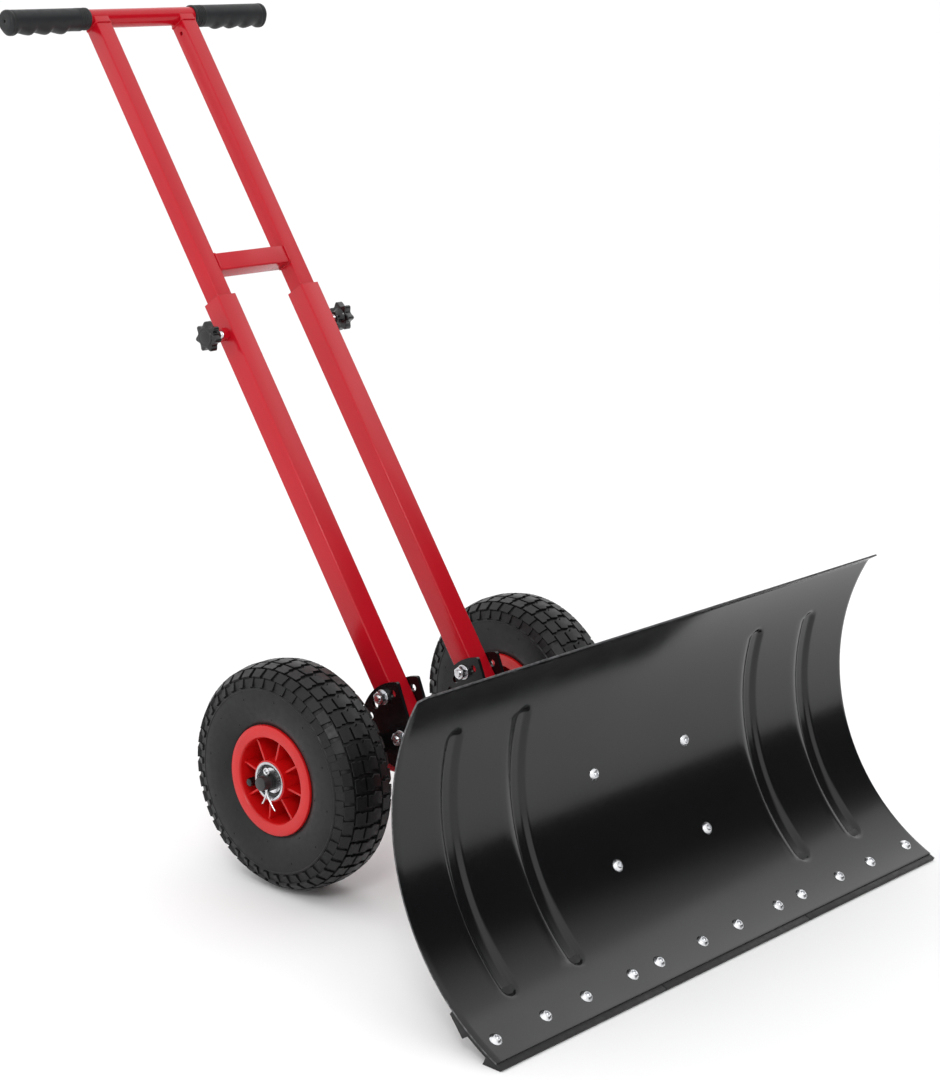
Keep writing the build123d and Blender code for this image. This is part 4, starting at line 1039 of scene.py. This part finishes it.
RIM_SECTION = ((35.0, 20.0), (35.0, 22.4), (34.5, 23.0), (6.0, 23.8), (2.6, 25.2), (2.0, 28.0),
               (2.0, 42.0), (2.6, 45.4), (5.5, 47.0), (31.0, 47.4), (33.2, 47.9), (34.6, 49.0),
               (35.0, 50.8), (35.0, 57.0), (34.7, 59.6), (33.9, 61.3), (32.6, 62.0),
               (31.2, 62.0), (31.0, 61.2), (31.0, 50.8), (0.0, 50.8))
RIB_COUNT = 8
RIB_START = radians(10.5)
CUP_SECTION = ((36, 20.9), (35.7, 21.4), (35.2, 21.5), (35.2, 19.9), (23, 19.9), (22, 19),
               (22, 12.8), (29.6, 12.6), (30, 13.2), (29.4, 14.4), (28.6, 16.4), (28.9, 17.6),
               (30.2, 18.2), (35.0, 18.5), (35.7, 18.9), (36, 19.6))
SEAL_SECTION = ((29.0, 12.8), (30.4, 13.0), (30.7, 13.6), (30.2, 14.6), (30.2, 16.6),
                (30.6, 17.2), (30.4, 18.0), (29.0, 18.0))
VALVE_TURN = radians(-18)
VALVE_CIRCLE = 38.5 * MM
CAP_RIDGES = 18


def rim():
    """Moulded rim: a turned shell with eight thin ribs on each face."""
    profile = both_sides(RIM_SECTION) + in_mm(((-22, 20), (-22, 17), (22, 17), (22, 20)))
    shell = smooth(turned("rim_shell", profile, 120, loop=True), 30)
    rib = slab("rib", [(0, 22.5 * MM, 0), (30 * MM, 22.5 * MM, 0), (29.5 * MM, 25 * MM, 0),
                       (27.5 * MM, 45 * MM, 0), (28.5 * MM, 48 * MM, 0), (0, 48 * MM, 0)],
               (0, 0, 2.6 * MM))
    settle(rib, moved((0, 0, -1.3 * MM)))
    soften(rib, 0.7 * MM, 3, 60)
    ribs = []
    for i in range(RIB_COUNT):
        for mirror in (1, -1):
            turn = rotated(RIB_START + 2 * pi * i / RIB_COUNT, "X")
            face = faced(mirror, "Y")
            ribs.append(copied(rib, "rib", turn @ face))
    drop(rib)
    return joined([shell, *ribs], "rim")


def valve():
    """Rubber stem and ridged cap, outboard along +X, at the wheel's middle."""
    x0, x1 = 8.5 * MM, 24 * MM
    stem = turned("stem", [(x0, 0), (x0, 3.0 * MM), (x0 + MM, 4.0 * MM), (x1 - 2 * MM, 4.0 * MM),
                           (x1 - 1.5 * MM, 3.4 * MM), (x1, 3.4 * MM), (x1, 0)], 24)
    clear()
    bpy.ops.mesh.primitive_cylinder_add(vertices=24, radius=4 * MM, depth=12 * MM,
                                        location=(x0 + 3.9 * MM, 7 * MM, 0),
                                        rotation=(radians(90), 0, 0))
    root = settle(made("stem_root"))
    stem = joined([stem, root], "stem")
    smooth(settle(stem, moved((0, VALVE_CIRCLE, 0))), 40)
    cap = turned("cap", [(x1 - MM, 3.5 * MM), (x1 - MM, 4.5 * MM), (x1 + 6 * MM, 4.5 * MM),
                         (x1 + 7.4 * MM, 4.0 * MM), (x1 + 8 * MM, 2.8 * MM), (x1 + 8 * MM, 0)],
                 2 * CAP_RIDGES)
    weighted_push(cap, lambda co: 0.0 if co.x > x1 + 6.5 * MM else (
        round(atan2(co.z, co.y) / (2 * pi) * 2 * CAP_RIDGES) % 2), 0.35 * MM)
    smooth(settle(cap, moved((0, VALVE_CIRCLE, 0))), 30)
    return stem, cap


def wheels():
    """Rims, valves, bearing cups and seals, one set a side."""
    hub = rim()
    stem, cap = valve()
    cup = smooth(turned("cup", in_mm(CUP_SECTION), 64, loop=True), 30)
    seal = smooth(turned("seal", in_mm(SEAL_SECTION), 56, loop=True), 40)
    for name, s in SIDES:
        out = faced(s, "Y")
        centre = on_wheel(s)
        shell = copied(hub, name + "_rim_moulded", centre)
        finish(shell, RIM_RED, name + "_wheel", "red_plastic", name + "_rim")
        at_valve = centre @ rotated(VALVE_TURN, "X") @ (
            out if s > 0 else Matrix.Scale(-1, 4, (1, 0, 0)))
        twin = turned_out(copied(stem, name + "_valve_moulded", at_valve))
        finish(twin, TUBE_RUBBER, name + "_wheel", "tube_rubber", name + "_valve")
        twin = turned_out(copied(cap, name + "_valve_cap_moulded", at_valve))
        finish(twin, KNOB_BLACK, name + "_wheel", "black_plastic", name + "_valve_cap")
        cups = [copied(cup, "cup_out", centre @ out),
                copied(cup, "cup_in", centre @ out @ rotated(pi, "Y"))]
        piece = joined(cups, name + "_bearing_cups_pressed")
        finish(piece, BEARING, name + "_wheel", "bearing_steel", name + "_bearing_cups")
        seals = [copied(seal, "seal_out", centre @ out),
                 copied(seal, "seal_in", centre @ out @ rotated(pi, "Y"))]
        finish(joined(seals, name + "_bearing_seals"), KNOB_BLACK, name + "_wheel",
               "black_plastic")
    for obj in (hub, stem, cap, cup, seal):
        drop(obj)


def split_pin():
    """Split pin down through the axle's end: an eye on top, two splayed legs below."""
    legs = []
    for s in (-1, 1):
        clear()
        bpy.ops.mesh.primitive_circle_add(vertices=12, radius=1.25 * MM,
                                          location=(0, s * 0.7 * MM, 9 * MM), fill_type="NGON")
        leg = settle(made("leg"))
        edit(leg)
        route = [(0, 0, -18), (0, s * 0.5, -1.5)] + [
            (0, s * (0.6 + 0.35 * k) + (0.8 if s > 0 else 0), -3.1) for k in range(6 if s > 0
                                                                                else 5)]
        for x, y, z in route:
            pull((x * MM, -y * MM, z * MM))
        face_out()
        legs.append(smooth(leg, 50))
    clear()
    bpy.ops.mesh.primitive_torus_add(major_segments=28, minor_segments=10,
                                     major_radius=3.3 * MM, minor_radius=1.15 * MM,
                                     location=(0, 0, 12.0 * MM), rotation=(0, radians(90), 0))
    eye = smooth(settle(made("eye")), 60)
    return joined([*legs, eye], "split_pin")


def axle_ends():
    """The axle with chamfered ends and a split pin near each."""
    profile = [(-axle_high.x, 0), (-axle_high.x, AXLE_RADIUS - 1.3 * MM),
               (-axle_high.x + 0.4 * MM, AXLE_RADIUS - 0.5 * MM),
               (-axle_high.x + 1.3 * MM, AXLE_RADIUS)]
    profile += [(-x, r) for x, r in reversed(profile)]
    bar = turned("axle_bar", profile, 40)
    centre = moved((0, AXLE.y, AXLE.z))
    settle(smooth(bar, 30), centre)
    finish(bar, AXLE_STEEL, "chassis", "black_steel", "axle")
    pin = split_pin()
    pin_x = WHEEL_X + SPLIT_PIN_OUT
    twins = [copied(pin, "pin", centre @ moved((s * pin_x, 0, 0)))
             for _, s in SIDES]
    drop(pin)
    finish(joined(twins, "split_pins_bent"), ZINC, "chassis", "zinc_steel", "split_pins")


# ======== base frame
def base_tubes():
    """Two rails at the axle's height and two tubes across them."""
    for name, s in SIDES:
        low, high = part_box(name + "_rail")
        rail = open_tube(name + "_rail_coated", TUBE, FRAME_CORNER, FRAME_WALL,
                         high.y - low.y)
        soften(rail, 0.35 * MM, 2, 50)
        settle(rail, moved((s * HALF_SPACING, low.y, AXLE.z))
               @ rotated(-radians(90), "X"))
        finish(rail, RED_COAT, "chassis", "red_paint", name + "_rail")
    for node in ("front_cross_tube", "rear_cross_tube"):
        low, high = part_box(node)
        tube = open_tube(node + "_coated", TUBE, FRAME_CORNER, FRAME_WALL,
                         high.x - low.x)
        soften(tube, 0.35 * MM, 2, 50)
        settle(tube, moved((low.x, (low.y + high.y) / 2, AXLE.z))
               @ rotated(radians(90), "Y"))
        finish(tube, RED_COAT, "chassis", "red_paint", node)


# ======== carried-over nodes
def coat_nodes():
    """Every CAD node that still shows gets its own worked material."""
    finishes = {
        "black_paint": BRACKET_COAT, "red_paint": RED_COAT, "zinc_steel": ZINC,
        "red_steel_nut": RED_COAT, "black_steel": AXLE_STEEL, "wear_rubber": STRIP,
        "tyre_rubber": TYRE, "tube_rubber": TUBE_RUBBER, "red_plastic": RIM_RED,
        "black_plastic": KNOB_BLACK, "grip_rubber": GRIP, "bearing_steel": STEEL,
    }
    for part in record["subparts"]:
        node = frame["nodes"][part["node"]]
        node.data.materials.clear()
        node.data.materials.append(finishes[part["material_slot"]])


# ======== stage
CAMERA_PLACE = (-1.9499, -1.8613, 1.0482)
CAMERA_TURN = radians(47.67)
CAMERA_DIP = radians(-14.38)
CAMERA_ROLL = radians(0.86)
CAMERA_LENS = 82.76


def camera():
    """Looks from the front left, a little above the handle."""
    bpy.ops.object.camera_add()
    obj = bpy.context.object
    obj.data.lens = CAMERA_LENS
    obj.data.sensor_width = 36
    obj.data.clip_end = 60
    turn = (rotated(-CAMERA_TURN, "Z") @ rotated(pi / 2 + CAMERA_DIP, "X")
            @ rotated(CAMERA_ROLL, "Z"))
    obj.matrix_world = moved(CAMERA_PLACE) @ turn
    bpy.context.scene.camera = obj


FLOOR_SIZE = 400


def floor():
    """Pale floor, wide enough to keep its edge out of view."""
    clear()
    bpy.ops.mesh.primitive_plane_add(size=FLOOR_SIZE, location=(0, 0, 0))
    obj = made("floor")
    n = Nodes("studio_floor")
    tone = n.colours(n.noise(3.0, 2.0), (0.86, 0.86, 0.865), (0.90, 0.90, 0.90))
    obj.data.materials.append(n.set(Base_Color=tone, Roughness=0.8, Specular_IOR_Level=0.1))


def light(name, place, target, size, power):
    bpy.ops.object.light_add(type="AREA", location=place)
    obj = bpy.context.object
    obj.name = name
    obj.data.shape = "SQUARE"
    obj.data.size = size
    obj.data.energy = power
    aim = Vector(target) - Vector(place)
    obj.rotation_euler = aim.to_track_quat("-Z", "Y").to_euler()


def studio():
    """White sky with one dark patch, low in front and to the right, for the blade to mirror."""
    for stray in ("Cube", "Light", "Camera"):
        if stray in bpy.data.objects:
            drop(bpy.data.objects[stray])
    world = bpy.data.worlds.new("studio")
    bpy.context.scene.world = world
    world.use_nodes = True
    tree = world.node_tree
    way = tree.nodes.new("ShaderNodeTexCoord")
    parts = tree.nodes.new("ShaderNodeSeparateXYZ")
    tree.links.new(way.outputs["Generated"], parts.inputs[0])

    def ramp(axis, low, high):
        node = tree.nodes.new("ShaderNodeMapRange")
        node.interpolation_type = "SMOOTHSTEP"
        node.inputs["From Min"].default_value = low
        node.inputs["From Max"].default_value = high
        tree.links.new(parts.outputs[axis], node.inputs["Value"])
        return node.outputs["Result"]
    open_sky = tree.nodes.new("ShaderNodeMath")
    open_sky.operation = "MAXIMUM"
    tree.links.new(ramp("Z", 0.42, 0.72), open_sky.inputs[0])
    tree.links.new(ramp("Y", -0.22, 0.02), open_sky.inputs[1])
    behind = tree.nodes.new("ShaderNodeMath")
    behind.operation = "MAXIMUM"
    tree.links.new(open_sky.outputs[0], behind.inputs[0])
    tree.links.new(ramp("X", 0.3, -0.1), behind.inputs[1])
    tone = tree.nodes.new("ShaderNodeMix")
    tone.data_type = "RGBA"
    tree.links.new(behind.outputs[0], tone.inputs[0])
    tone.inputs[6].default_value = (0.05, 0.05, 0.05, 1)
    tone.inputs[7].default_value = (1, 1, 1, 1)
    tree.links.new(tone.outputs[2], tree.nodes["Background"].inputs["Color"])
    tree.nodes["Background"].inputs["Strength"].default_value = 1.25
    bpy.context.scene.view_settings.view_transform = "Standard"
    light("key", (-2.0, -1.6, 2.3), (0, 0, 0.4), 0.7, 20)
    light("side", (2.4, -0.5, 2.0), (0, -0.3, 0.2), 1.6, 6)
    floor()
    camera()


# ======== build
coat_nodes()
blade_sheet()
wear_strips()
blade_fasteners()
handle_tubes()
top_bar()
grips()
plain_nut = knobs()
bracket_hardware(plain_nut)
drop(plain_nut)
tyres()
wheels()
axle_ends()
base_tubes()
studio()
